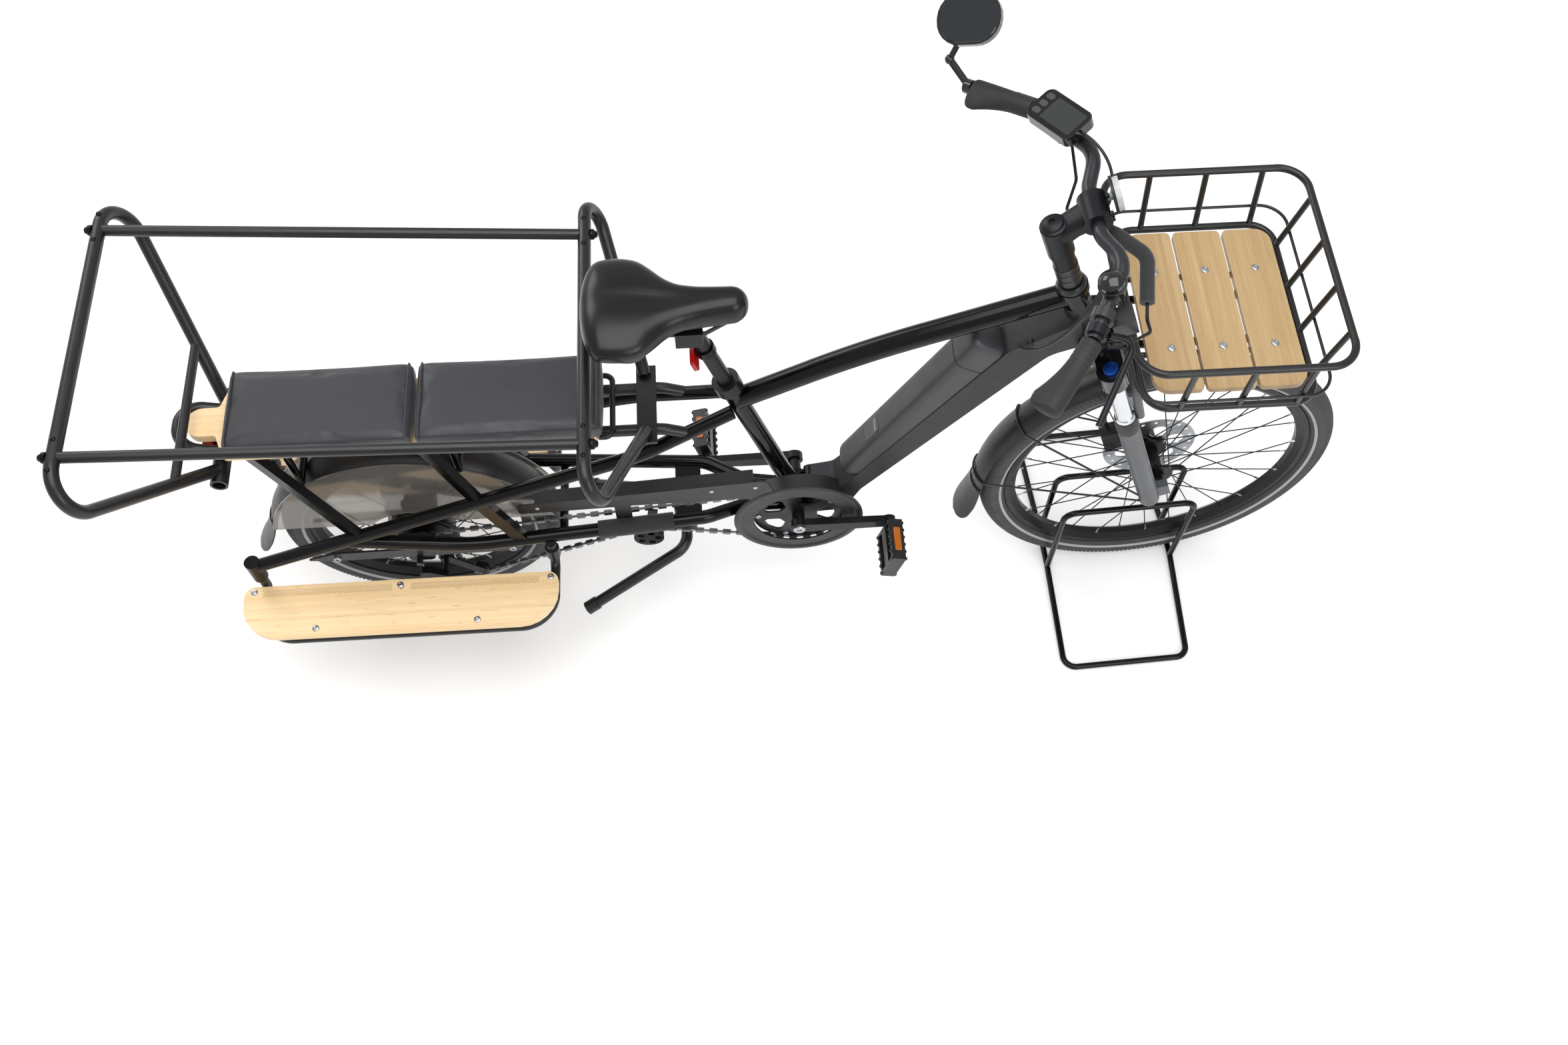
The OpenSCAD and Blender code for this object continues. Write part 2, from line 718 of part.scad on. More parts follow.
module crank_arm(side, ahead) {
    translate([bb_x, side * crank_y + crank_t / 2, bb_z]) rotate([90, 0, 0]) {
        cylinder(h = crank_t, r = 17);
        translate([ahead * crank_len, 0, 0]) cylinder(h = crank_t, r = 13);
        linear_extrude(crank_t) polygon([[0, -crank_half[0]], [ahead * crank_len, -crank_half[1]],
            [ahead * crank_len, crank_half[1]], [0, crank_half[0]]]);
    }
}

module crank_arms() color(black_paint) {
    crank_arm(-1, 1);
    crank_arm(1, -1);
    cross_rod([bb_x, bb_z], crank_y, crank_axle_r);
}

pedal_len = 92;
pedal_wide = 72;
pedal_deep = 26;
pedal_spindle_r = 7;
pedal_slot = [18, 70];
// How far the pedals hang from level
pedal_tilt = 76;

module pedal(side, ahead) translate([bb_x + ahead * crank_len, side * (crank_y + crank_t / 2 + seat_gap),
    bb_z])
    rotate([0, 0, side > 0 ? 0 : 180]) rotate([0, pedal_tilt, 0]) {
        rotate([-90, 0, 0]) cylinder(h = pedal_len, r = pedal_spindle_r);
        translate([-pedal_wide / 2, pedal_len - 84, -pedal_deep / 2]) difference() {
            cube([pedal_wide, 84, pedal_deep]);
            for (x = [8, pedal_wide - 8 - pedal_slot[0]])
                translate([x, 7, -cut]) cube([pedal_slot[0], pedal_slot[1], pedal_deep + 2 * cut]);
        }
    }

module pedal_right() color(black_paint) pedal(-1, 1);
module pedal_left() color(black_paint) pedal(1, -1);

// Soft sleeve round the right chainstay
sleeve_t = 4;
sleeve_span = [0.142, 0.463];
sleeve_from = stay_path[2] + sleeve_span[0] * stay_run;
sleeve_to = stay_path[2] + sleeve_span[1] * stay_run;

// Chain guard: flat ring round the chainring and an arm that runs back to a tab on the chainstay
guard_y = 58;
guard_t = 3;
guard_inner_r = chainring_r - 6;
guard_deep = 26;
guard_arm = rounded([[205, 372, 6], [380, 380, 2], [380, stay_z + 2, 2], [410, stay_z + 2, 2], [410, 382, 2],
    [bb_x - 90, 386, 20], [bb_x - 82, bb_z + 60, 4], [bb_x - 40, bb_z + 90, 4], [bb_x - 60, 446, 14],
        [205, 402, 6]]);
// Top flange of the arm, a little under its top edge
guard_edge = [[205, 402], [bb_x - 60, 446]];
guard_run = unit([guard_edge[1][0] - guard_edge[0][0], 0, guard_edge[1][1] - guard_edge[0][1]]);
flange_drop = 0.6 + guard_t / 2;
guard_flange_y = -guard_y - lap + guard_deep / 2;
flange_ends = [32, 434];
guard_band = [52, 128];
guard_band_r = guard_r - 0.4;

module chain_guard() color(graphite) difference() {
    union() {
        translate([bb_x, -guard_y, bb_z]) rotate([90, 0, 0]) cylinder(h = guard_t, r = guard_r);
        translate([bb_x, -guard_y - lap + guard_deep, bb_z]) rotate([90, 0, 0]) rotate([0, 0, guard_band[0]])
            rotate_extrude(angle = guard_band[1] - guard_band[0]) translate([guard_band_r - guard_t, 0])
                square([guard_t, guard_deep]);
        side_plate(guard_arm, -guard_y - guard_t, -guard_y);
        bar([guard_edge[0][0], guard_flange_y, guard_edge[0][1] - flange_drop] + flange_ends[0] * guard_run,
            [guard_edge[0][0], guard_flange_y,
                guard_edge[0][1] - flange_drop] + flange_ends[1] * guard_run, guard_t, guard_deep);
    }
    translate([bb_x, -guard_y + cut, bb_z]) rotate([90, 0, 0])
        cylinder(h = guard_t + 2 * cut, r = guard_inner_r);
    stay_tubes(sleeve_t + 2 * seat_gap);
}

// Flat guard bars outside the dropouts, with the axle's ends and nuts
dropout_guard_outline = rounded([[-212, 268, 2], [-150, 262, 10], [196, 268, 6], [196, 296, 6],
    [-150, 290, 10]]);
dropout_guard_t = 4;
dropout_guard_y = dropout_y + dropout_t;

module dropout_guards() color(black_paint) both() {
    side_plate(dropout_guard_outline, -dropout_guard_y - dropout_guard_t, -dropout_guard_y);
    translate([0, -dropout_y - seat_gap, rear_tyre_r]) rotate([90, 0, 0]) cylinder(h = 26, r = axle_r);
}

// Derailleur hung outside the right dropout, with its cage and two pulleys, and the slotted idler that
// lifts the chain
hanger_y = dropout_y + dropout_t + dropout_guard_t + seat_gap;
cage_y = chain_y + chain_r + 3;
idler_arm_y = chain_y - chain_r - 4;
cage_along = unit([upper_pulley[0] - lower_pulley[0], 0, upper_pulley[1] - lower_pulley[1]]);

module pulley(at, r) difference() {
    translate([at[0], -chain_y - chain_r - 2, at[1]]) rotate([-90, 0, 0])
        cylinder(h = 2 * chain_r + 2, r = r);
    for (i = [0:4]) translate([at[0] + 0.6 * r * cos(72 * i), 0, at[1] + 0.6 * r * sin(72 * i)])
        rotate([90, 0, 0]) cylinder(h = 3 * chain_y, r = 0.22 * r, center = true);
}

module derailleur() color(black_paint) {
    side_plate(rounded([[-12, rear_tyre_r - 34, 10], [14, rear_tyre_r - 38, 8], [50, upper_pulley[1] - 8, 10],
        [36, upper_pulley[1] - 22, 8], [-6, rear_tyre_r - 62, 10]]), -hanger_y - 14, -hanger_y);
    rod([upper_pulley[0], -hanger_y - 7, upper_pulley[1]], [upper_pulley[0], -chain_y, upper_pulley[1]], 5);
    bar([upper_pulley[0], -cage_y, upper_pulley[1]] + 6 * cage_along, [lower_pulley[0],
        -cage_y, lower_pulley[1]] - 6 * cage_along, 20, 3);
    for (w = [upper_pulley, lower_pulley]) pulley(w, pulley_r - chain_r - 1);
    pulley(idler, idler_r - chain_r - 1);
    rod([idler[0], -chain_y, idler[1]], [idler[0], -idler_arm_y + 4, idler[1]], 5);
    difference() {
        bar([idler[0], -idler_arm_y + 2, idler[1] - 8], [idler[0] + 14, -idler_arm_y + 2, stay_z], 18, 4);
        stay_tubes(seat_gap);
    }
}

module chainstay_sleeve() color(rubber) difference() {
    rod(sleeve_from, sleeve_to, stay_r + sleeve_t);
    rod(sleeve_from - unit(stay_run) * cut, sleeve_to + unit(stay_run) * cut, stay_r + seat_gap);
}

// Saddle on its post
post_top = 592;
collar_h = 26;
saddle_low = 875;
saddle_t = 54;
saddle_base_t = 6;
saddle_rail_r = 3.5;
saddle_rail_y = 22;
saddle_rail_z = saddle_low - saddle_base_t - 15;
saddle_rail_x = [430, 600];
clamp_x = on_seat(post_top)[0];
saddle_half = [[378, -58, 34], [398, -92, 36], [470, -100, 40], [516, -36, 44], [640, -22, 20]];
saddle_base_half = [[394, -50, 24], [410, -78, 28], [464, -84, 30], [512, -28, 36], [628, -15, 12]];
function mirrored(half) = concat(half, [for (i = [len(half) - 1:-1:0]) [half[i][0], -half[i][1],
    half[i][2]]]);
saddle_outline = rounded(mirrored(saddle_half), 4);
saddle_base_outline = rounded(mirrored(saddle_base_half), 4);
// Crown of the saddle seen from the side and from behind
saddle_side = rounded([[370, saddle_low - 4, 1], [370, saddle_low + 28, 20], [392, saddle_low + 56, 30],
    [500, saddle_low + 46, 120],
    [612, saddle_low + 52, 40], [650, saddle_low + 36, 16], [650, saddle_low - 4, 1]], 4);
saddle_back = rounded([[-112, saddle_low - 4, 1], [-112, saddle_low + 20, 16], [-70, saddle_low + 52, 40],
    [70, saddle_low + 52, 40],
    [112, saddle_low + 20, 16], [112, saddle_low - 4, 1]], 4);

// Wire rails under the saddle, from end to end of its base
saddle_rail_path = [[saddle_rail_x[0], -saddle_rail_y - 8, saddle_low - 3],
    [saddle_rail_x[0] + 20, -saddle_rail_y, saddle_rail_z],
    [saddle_rail_x[1] - 30, -saddle_rail_y, saddle_rail_z], [saddle_rail_x[1] + 10, -12, saddle_low - 3]];

module saddle_rails(grow = 0) for (side = [1, -1]) {
    path = flip_path(saddle_rail_path, side);
    for (i = [0:2]) rod(path[i], path[i + 1], saddle_rail_r + grow);
    for (i = [1:2]) translate(path[i]) sphere(r = saddle_rail_r + grow + bend_swell);
}

module seat_post() color(black_paint) {
    rod(on_seat(seat_tube_len - 150), on_seat(post_top - 10), seat_post_r);
    difference() {
        rod(on_seat(seat_tube_len - collar_h + 4), on_seat(seat_tube_len + 4), seat_tube_r + 7);
        rod(on_seat(seat_tube_len - collar_h + 4 - cut), on_seat(seat_tube_len), seat_tube_r + seat_gap);
        rod(on_seat(seat_tube_len - cut), on_seat(seat_tube_len + 4 + cut), seat_post_r + 0.5);
    }
    difference() {
        translate([clamp_x - 20, -saddle_rail_y - 8, saddle_rail_z - 26])
            cube([44, 2 * saddle_rail_y + 16, 34]);
        saddle_rails(seat_gap);
    }
}

module saddle() color(vinyl) intersection() {
    translate([0, 0, saddle_low + seat_gap]) linear_extrude(saddle_t) polygon(saddle_outline);
    side_plate(saddle_side, -120, 120);
    translate([360, 0, 0]) rotate([90, 0, 90]) linear_extrude(300) polygon(saddle_back);
}

module saddle_base() color(graphite) {
    translate([0, 0, saddle_low - saddle_base_t]) linear_extrude(saddle_base_t) polygon(saddle_base_outline);
    saddle_rails();
}

// Basket on a bracket at the head tube
basket_x = [1214, 1546];
basket_y = 193;
floor_x = [1250, 1522];
floor_y = 177;
rib_r = 5;
rib_y = 75;
upright_r = basket_r - 1;
side_uprights = [1297, 1389, 1481];
front_uprights = [-131, -44, 44, 131];
front_upright_taper = 0.99;
// Thin wire round the outside of the uprights
guard_wire_r = 2.5;
guard_wire_z = 845;
guard_wire_x = [1230, 1535.4];
guard_wire_y = 188.4;
plank_pitch = 83;
plank_w = 78;
plank_half = 155;
plank_x = 1266;
arm_r = 7;
arm_y = 44;
arm_z = basket_floor_z - basket_r - seat_gap - arm_r;

function ring(x, y, z) = [[x[0], -y, z], [x[1], -y, z], [x[1], y, z], [x[0], y, z]];

module basket_frame() color(black_paint) {
    bent_loop(ring(basket_x, basket_y, basket_rim_z), 45, basket_r);
    bent_loop(ring(floor_x, floor_y, basket_floor_z), 40, basket_r);
    both() {
        for (x = side_uprights) rod([x, -basket_y, basket_rim_z], [x + 6, -floor_y, basket_floor_z],
            upright_r);
        rod([floor_x[0], -rib_y, basket_floor_z], [floor_x[1], -rib_y, basket_floor_z], rib_r);
    }
    for (y = front_uprights)
        rod([basket_x[1], y, basket_rim_z], [floor_x[1], y * front_upright_taper, basket_floor_z], upright_r);
    bent_loop(ring(guard_wire_x, guard_wire_y, guard_wire_z), 42, guard_wire_r);
}

module basket_planks() color(bamboo) for (i = [0:2])
    translate([plank_x + i * plank_pitch, -plank_half, basket_floor_z + basket_r + seat_gap])
        linear_extrude(plank_t)
        polygon(rounded([[0, 0, i == 0 ? 26 : 8], [plank_w, 0, i == 2 ? 26 : 8],
            [plank_w, 2 * plank_half, i == 2 ? 26 : 8],
            [0, 2 * plank_half, i == 0 ? 26 : 8]]));

module basket_bracket() color(black_paint) difference() {
    union() {
        both() rod([on_axis(head_low + 30)[0], -arm_y, arm_z], [floor_x[1] + 4, -arm_y, arm_z], arm_r);
        translate([on_axis(head_low + 30)[0] - 16, -arm_y - arm_r, arm_z - 9])
            cube([44, 2 * (arm_y + arm_r), 18]);
    }
    head_tube(seat_gap);
    down_tube(seat_gap);
}

// Folding stand with two legs under the chainstays
kick_pivot = [505, 212];
kick_reach = 219;
kick_fold = 24;
kick_spread = 140;
kick_elbow_y = 62;
kick_half = [[kick_pivot[0], -kick_elbow_y, kick_pivot[1]],
    [kick_pivot[0] - kick_reach * cos(kick_fold), -kick_spread, kick_pivot[1] - kick_reach * sin(kick_fold)]];
pivot_block = [40, 34];
stand_plate_x = [491, 539];
stand_plate_half = 60;

module stand_bracket() color(black_paint) difference() {
    union() {
        translate([stand_plate_x[0], -stand_plate_half, stay_z - 8])
            cube([stand_plate_x[1] - stand_plate_x[0], 2 * stand_plate_half, 12]);
        translate([kick_pivot[0] - pivot_block[0] / 2, -pivot_block[1] / 2, kick_pivot[1] - 18])
            cube([pivot_block[0], pivot_block[1], stay_z - kick_pivot[1] + 18]);
    }
    cross_rod(kick_pivot, 100, kick_r + seat_gap);
    stay_tubes(seat_gap);
}

// Cap on the foot of each leg
kick_cap_r = 13.5;
kick_cap_len = 24;

module kickstand() color(black_paint) {
    bent_tube([kick_half[1], kick_half[0], flip(kick_half[0], -1), flip(kick_half[1], -1)], 36, kick_r);
    for (side = [1, -1]) let (foot = flip(kick_half[1], side), up = unit(flip(kick_half[0], side) - foot))
        rod(foot - 4 * up, foot + (kick_cap_len - 4) * up, kick_cap_r);
}

// Wheels

// Tyre with its tread at radius r, on its axle along Y
module tyre(r, w) rotate([90, 0, 0]) rotate_extrude() intersection() {
    union() {
        translate([r - w / 2, 0]) circle(w / 2);
        translate([r - tyre_h, -rim_w / 2 + 1]) square([tyre_h - w / 2, rim_w - 2]);
    }
    translate([r - tyre_h + seat_gap, -w]) square([tyre_h, 2 * w]);
}

module rim(r) rotate([90, 0, 0]) rotate_extrude() polygon([
    [r, -rim_w / 2], [r, rim_w / 2], [r - rim_h * 0.45, rim_w / 2], [r - rim_h, rim_w / 5],
    [r - rim_h, -rim_w / 5], [r - rim_h * 0.45, -rim_w / 2]]);

// Spokes from hub flanges of radius hub_r at hub_y each side to the rim bed of radius bed_r
module spokes(hub_r, hub_y, bed_r, lace) for (i = [0:spoke_count - 1]) {
    side = i % 2 == 0 ? 1 : -1;
    lead = i % 4 < 2 ? 1 : -1;
    out = i * 360 / spoke_count;
    in = out + lead * lace;
    rod([hub_r * cos(in), side * (hub_y + lead * 2), hub_r * sin(in)],
        [(bed_r - seat_gap) * cos(out), side * 5, (bed_r - seat_gap) * sin(out)], spoke_r);
}

// Plain disc across the axle at y, its thickness towards the left
module axle_disc(y, t, r) translate([0, y + t, 0]) rotate([90, 0, 0]) cylinder(h = t, r = r);

front_rim_r = front_tyre_r - tyre_h;
rear_rim_r = rear_tyre_r - tyre_h;
motor_half = 36;
flange_y = 30;
flange_t = 8;
hub_axle_r = 12;
hub_end = dropout_y - seat_gap;
cogs = [[-60, 24], [-55.5, 28]];
disc_t = 2;
rear_disc_y = 48;
rear_disc_r = 80;

module rear_tyre() color(rubber) translate(rear_axle) tyre(rear_tyre_r, rear_tyre_w);
module rear_rim() color(black_paint) translate(rear_axle) rim(rear_rim_r);
module rear_hub() color(black_paint) translate(rear_axle) {
    axle_disc(-motor_half, 2 * motor_half, motor_r - 8);
    for (side = [1, -1]) axle_disc(side * flange_y - flange_t / 2, flange_t, motor_r);
    axle_disc(-hub_end, 2 * hub_end, hub_axle_r);
    axle_disc(-chain_y - 1, 2, cog_r - chain_r - bend_swell - mesh_gap);
    for (c = cogs) axle_disc(c[0], 2, c[1]);
    axle_disc(-62, 62, 20);
    spokes(motor_r - 4, flange_y, rear_rim_r - rim_h, 24);
}
// Brake disc on its axle: holes along the braking ring and windows between its arms
disc_hole_r = 4;
disc_holes = 20;
disc_windows = 6;

module brake_disc(y, r, bore) difference() {
    axle_disc(y, disc_t, r);
    axle_disc(y - cut, disc_t + 2 * cut, bore);
    for (i = [0:disc_holes - 1]) rotate([0, i * 360 / disc_holes, 0]) translate([r - 10, 0, 0])
        axle_disc(y - cut, disc_t + 2 * cut, disc_hole_r);
    for (i = [0:disc_windows - 1]) rotate([0, i * 360 / disc_windows, 0]) translate([0.55 * r, 0, 0])
        axle_disc(y - cut, disc_t + 2 * cut, 0.2 * r);
}

module rear_disc() color(silver) translate(rear_axle)
    brake_disc(rear_disc_y, rear_disc_r, hub_axle_r + seat_gap);

// Brake caliper that straddles a disc whose mid-plane is at y, with its inner cheek towards the spokes
caliper_slot = 6;
caliper_cheek = 6;
caliper_open = 0.86;

module caliper(size, y) difference() {
    translate([-size[0] / 2, y - caliper_slot / 2 - caliper_cheek, 0]) cube(size);
    translate([-size[0], y - caliper_slot / 2, -cut]) cube([2 * size[0],
        caliper_slot, size[2] * caliper_open + cut]);
}

module rear_caliper() color(black_paint) {
    translate([-52, 0, 296]) caliper([40, 28, 50], rear_disc_y + disc_t / 2);
    translate([-40, rear_disc_y + 10, 318]) cube([22, dropout_y - rear_disc_y - 10 - seat_gap, 12]);
}

front_hub_end = 50;
front_flange_y = 28;
front_disc_y = 36;
front_disc_r = 88;

module front_tyre() color(rubber) on_front_axle() tyre(front_tyre_r, front_tyre_w);
module front_rim() color(black_paint) on_front_axle() rim(front_rim_r);
module front_hub() color(black_paint) on_front_axle() {
    axle_disc(-motor_half, 2 * motor_half, 14);
    axle_disc(-front_hub_end, 2 * front_hub_end, 10);
    for (side = [1, -1]) axle_disc(side * front_flange_y - 3, 6, 30);
    spokes(27, front_flange_y, front_rim_r - rim_h, 62);
}
module front_disc() color(silver) on_front_axle()
    brake_disc(front_disc_y + seat_gap, front_disc_r, 10 + seat_gap);

// Fork

crown_h = 38;
crown_r = 24;

module fork_crown() color(black_paint) steered() {
    translate([0, 0, crown_w]) {
        translate([leg_u - crown_r + 2, -leg_y, 2]) cube([2 * crown_r - 4, 2 * leg_y, crown_h - 4]);
        for (side = [1, -1]) translate([leg_u, side * leg_y, 0]) cylinder(h = crown_h, r = crown_r);
        cylinder(h = bar_w - crown_w - 30, r = steerer_r);
        cylinder(h = head_low - crown_w - seat_gap, r = crown_r);
    }
    for (side = [1, -1]) translate([leg_u, side * leg_y, lower_top + seat_gap])
        cylinder(h = crown_w - lower_top, r = stanchion_r);
}

// Arch that ties the legs above the tyre
arch_r = 8;
arch_half = [[leg_u + 25, -62, lower_top - 12], [leg_u + 30, -54, 372]];

module fork_lowers() color(graphite) steered() {
    bent_tube([arch_half[0], arch_half[1], flip(arch_half[1], -1), flip(arch_half[0], -1)], 24, arch_r);
    for (side = [1, -1]) fork_leg(side);
}

module fork_leg(side) {
    translate([leg_u, side * leg_y, -16]) cylinder(h = lower_top + 16, r = lower_r);
    translate([fork_offset - 30, side > 0 ? front_hub_end + seat_gap : -front_hub_end - seat_gap - 16,
        -16]) cube([46, 16, 32]);
}

stem_low = head_top + 90;
stem_top = head_top + 154;
clamp_half = 26;

module stem() color(black_paint) steered() difference() {
    union() {
        translate([0, 0, head_top + seat_gap]) cylinder(h = stem_low - head_top, r = 18);
        translate([0, 0, stem_low]) cylinder(h = stem_top - stem_low, r = 21);
        rod([0, 0, bar_w - 36], [bar_u, 0, bar_w], 16);
        translate([bar_u, clamp_half, bar_w]) rotate([90, 0, 0]) cylinder(h = 2 * clamp_half, r = 22);
    }
    translate([0, 0, crown_w]) cylinder(h = bar_w - crown_w - 30 + seat_gap, r = steerer_r + seat_gap);
    translate([bar_u, clamp_half + cut, bar_w]) rotate([90, 0, 0]) cylinder(h = 2 * (clamp_half + cut),
        r = bar_r + seat_gap);
}

// Handlebar: half path from the clamp to the grip's end
bar_half = [[bar_u, 46, bar_w], [86, 104, bar_w + 2], [16, 218, bar_w + 4], [-69, 310, bar_w - 4]];
bar_run = concat([for (i = [2:-1:0]) bar_half[i]], [for (i = [0:2]) flip(bar_half[i], -1)]);
bar_along = unit(bar_half[2] - bar_half[1]);
grip_along = unit(bar_half[3] - bar_half[2]);
grip_r = 16;
function on_bar(s, side) = flip(bar_half[2] - s * bar_along, side);

module handlebar() color(graphite) steered() bent_tube(bar_run, [0, 55, 50, 50, 55, 0], bar_r);

// Palm wing of a grip: along the grip and back from its axis
grip_len = norm(bar_half[3] - bar_half[2]);
grip_back = unit([-grip_along[1], grip_along[0], 0]);
grip_up = cross(grip_along, grip_back);
wing_t = 18;
wing_outline = rounded([[grip_len * 0.3, 2, 1], [grip_len * 0.72, 32, 24], [grip_len - 1, 34, 10],
    [grip_len - 1, 2, 1]]);

module grips() color(rubber) steered() both() {
    rod(bar_half[2] + grip_along * 4, bar_half[3], grip_r);
    multmatrix([[grip_along[0], grip_back[0], grip_up[0], bar_half[2][0]], [grip_along[1], grip_back[1],
        grip_up[1], bar_half[2][1]],
                [grip_along[2], grip_back[2], grip_up[2], bar_half[2][2]], [0, 0, 0, 1]])
        translate([0, 0, -wing_t / 2]) linear_extrude(wing_t) polygon(wing_outline);
}

// Ring round the handlebar, s inward of the grip, half as wide as half
module bar_ring(s, side, half, r) difference() {
    rod(on_bar(s - half, side), on_bar(s + half, side), r);
    rod(on_bar(s - half - cut, side), on_bar(s + half + cut, side), bar_r + seat_gap);
}

display_size = [96, 58, 18];
display_corner = 12;
display_s = 62;
display_at = on_bar(display_s, 1) + [0, 0, bar_r + 7];
bar_sweep = atan2(bar_along[0], bar_along[1]);

module display() color(black_paint) steered() {
    bar_ring(display_s, 1, 8, bar_r + 9);
    translate(display_at) rotate([0, 0, 90 - bar_sweep]) linear_extrude(display_size[2])
        polygon(round_box(display_size[0], display_size[1], display_corner));
}

// Brake levers: path of the left one from its clamp round to the tip, and the hose that leaves its knee
lever_clamp_s = 14;
lever_at = on_bar(lever_clamp_s, 1);
lever_path = [lever_at + [15, 6, -8], lever_at + [48, 10, -34], [-8, 318, bar_w - 58]];
lever_bend = 16;
lever_r = 5;
hose_end = [61, 219, bar_w - 27];
hose_r = 2.5;
hose_bend = 18;

// Soft sleeve round the hoses, from beside the stem over the basket's edge to the right lever
sleeve_path = [[38, 36, 733], [84, -16, 735], [118, -62, 726], [100, -132, 712]];
sleeve_r = 11;
sleeve_bend = 30;
sleeve_left = unit(sleeve_path[0] - sleeve_path[1]);
sleeve_right = unit(sleeve_path[3] - sleeve_path[2]);

module brake_levers() color(black_paint) steered() {
    for (side = [1, -1]) {
        bar_ring(lever_clamp_s, side, 8, bar_r + 5);
        bent_tube(flip_path(lever_path, side), lever_bend, lever_r);
    }
    bent_tube([sleeve_path[0] + seat_gap * sleeve_left, sleeve_path[0] + 26 * sleeve_left, [48, 122, 716],
        hose_end],
              hose_bend, hose_r);
    bent_tube([sleeve_path[3] + seat_gap * sleeve_right, sleeve_path[3] + 26 * sleeve_right, [94, -186, 718],
               flip(hose_end, -1)], hose_bend, hose_r);
}

// Mirror on the left bar end: oval head that faces up and back to the rider, on a bent arm
mirror_at = [-45, 360, bar_w + 92];
mirror_face = [-0.18, -0.44, 0.88];
mirror_size = [82, 104];
mirror_corner = 39;
mirror_t = 12;
mirror_arm = [-92, 348, bar_w + 34];

module bar_mirror() color(black_paint) steered() {
    rod(bar_half[3] + grip_along * seat_gap, bar_half[3] + grip_along * 14, 12);
    rod(bar_half[3] + grip_along * 9, mirror_arm, 6);
    translate(mirror_arm) sphere(r = 8);
    rod(mirror_arm, mirror_at - unit(mirror_face) * mirror_t, 5);
    aim(mirror_at, mirror_face) translate([0, 0, -mirror_t]) linear_extrude(mirror_t)
        polygon(round_box(mirror_size[0], mirror_size[1], mirror_corner));
}

bell_r = 19;
bell_h = 14;
bell_dome_r = 24;

module bell() color(black_paint) steered() {
    bar_ring(84, -1, 5, bar_r + 5);
    translate(on_bar(84, -1) + [0, 0, bar_r + 2]) {
        cylinder(h = bell_h, r = bell_r);
        intersection() {
            translate([0, 0, bell_h - lap - sqrt(pow(bell_dome_r, 2) - pow(bell_r - 0.4, 2))])
                sphere(r = bell_dome_r);
            translate([0, 0, bell_h - lap]) cylinder(h = bell_dome_r, r = bell_r);
        }
    }
}

module shifter() color(black_paint) steered() {
    bar_ring(40, -1, 8, bar_r + 6);
    translate(on_bar(40, -1) + [8, -14, -42]) cube([34, 32, 29]);
}

// Oval lens on a bracket ahead of the clamp
lens_size = [40, 54];
lens_corner = 17;

module front_reflector() color("white") steered() {
    translate([bar_u + 22 + seat_gap, 14, bar_w - 4]) cube([14, 8, 8]);
    translate([bar_u + 34, 18, bar_w + 2]) rotate([90, 0, 90]) linear_extrude(9)
        polygon(round_box(lens_size[0], lens_size[1], lens_corner));
}

module cable_sleeve() color(rubber) steered() bent_tube(sleeve_path, sleeve_bend, sleeve_r);

front_fender_r = front_tyre_r + fender_gap;
front_fender_w = 62;

// Angle where the fender starts and how far round it runs
front_fender_span = [92, 104];

module front_fender() color(black_paint) on_front_axle() {
    rotate([90, 0, 0]) rotate([0, 0, front_fender_span[0]])
        rotate_extrude(angle = front_fender_span[1]) fender_profile(front_fender_r, front_fender_w);
    fender_flap(front_fender_r, front_fender_span[0] + front_fender_span[1]);
}

// Fender stays: angle of each on the fender and height of its root on the fork leg
wire_stays = [[150, 30], [184, 6]];
wire_stay_r = 2.5;
wire_stay_root = lower_r + wire_stay_r + seat_gap;
fender_edge_r = front_fender_r - fender_crown_r + sqrt(pow(fender_crown_r, 2) - pow(front_fender_w / 2, 2));

module fender_stays() color(black_paint) on_front_axle() both() for (s = wire_stays)
    rod([leg_u - fork_offset - 0.8 * wire_stay_root, -leg_y - 0.6 * wire_stay_root, s[1]],
        [fender_edge_r * cos(s[0]), -front_fender_w / 2 - wire_stay_r - seat_gap,
            fender_edge_r * sin(s[0])], wire_stay_r);

// Front brake with its hose, which comes down behind the left leg from the crown
front_hose = [[-51, 64, 448], [-51, 64, 160], [-64, 48, 112], [-64, 46, 84]];

module front_caliper() color(black_paint) on_front_axle() difference() {
    union() {
        bent_tube(front_hose, hose_bend, hose_r);
        translate([-64, 0, 36]) caliper([32, 28, 54], front_disc_y + disc_t / 2 + seat_gap);
        translate([-60, 50, 52]) cube([30, 16, 20]);
    }
    translate([leg_u - fork_offset, leg_y, -40]) cylinder(h = 400, r = lower_r + seat_gap);
}

// Wire wheel stand that holds the bike upright
stand_x = [-160, 100];
stand_foot_y = 270;
stand_top = 226;
stand_bend = 24;

module wheel_stand() color(black_paint) translate([wheelbase, 0, wire_r]) rotate([0, 0, steer_rest]) {
    both() {
        bent_tube([[stand_x[0], -hoop_y, 0], [stand_x[0] - 8, -stand_foot_y, 0],
            [stand_x[1] - 18, -stand_foot_y, 0],
                   [stand_x[1], -hoop_y, 0]], stand_bend, wire_r);
        bent_tube([[stand_x[0], -hoop_y, 0], [stand_x[0], -hoop_y, stand_top], [stand_x[1],
            -hoop_y, stand_top],
                   [stand_x[1], -hoop_y, 0]], stand_bend, wire_r);
    }
    for (x = stand_x) {
        rod([x, -hoop_y, 0], [x, hoop_y, 0], wire_r);
        for (side = [1, -1]) translate([x, side * hoop_y, 0]) sphere(r = wire_r + bend_swell);
    }
}

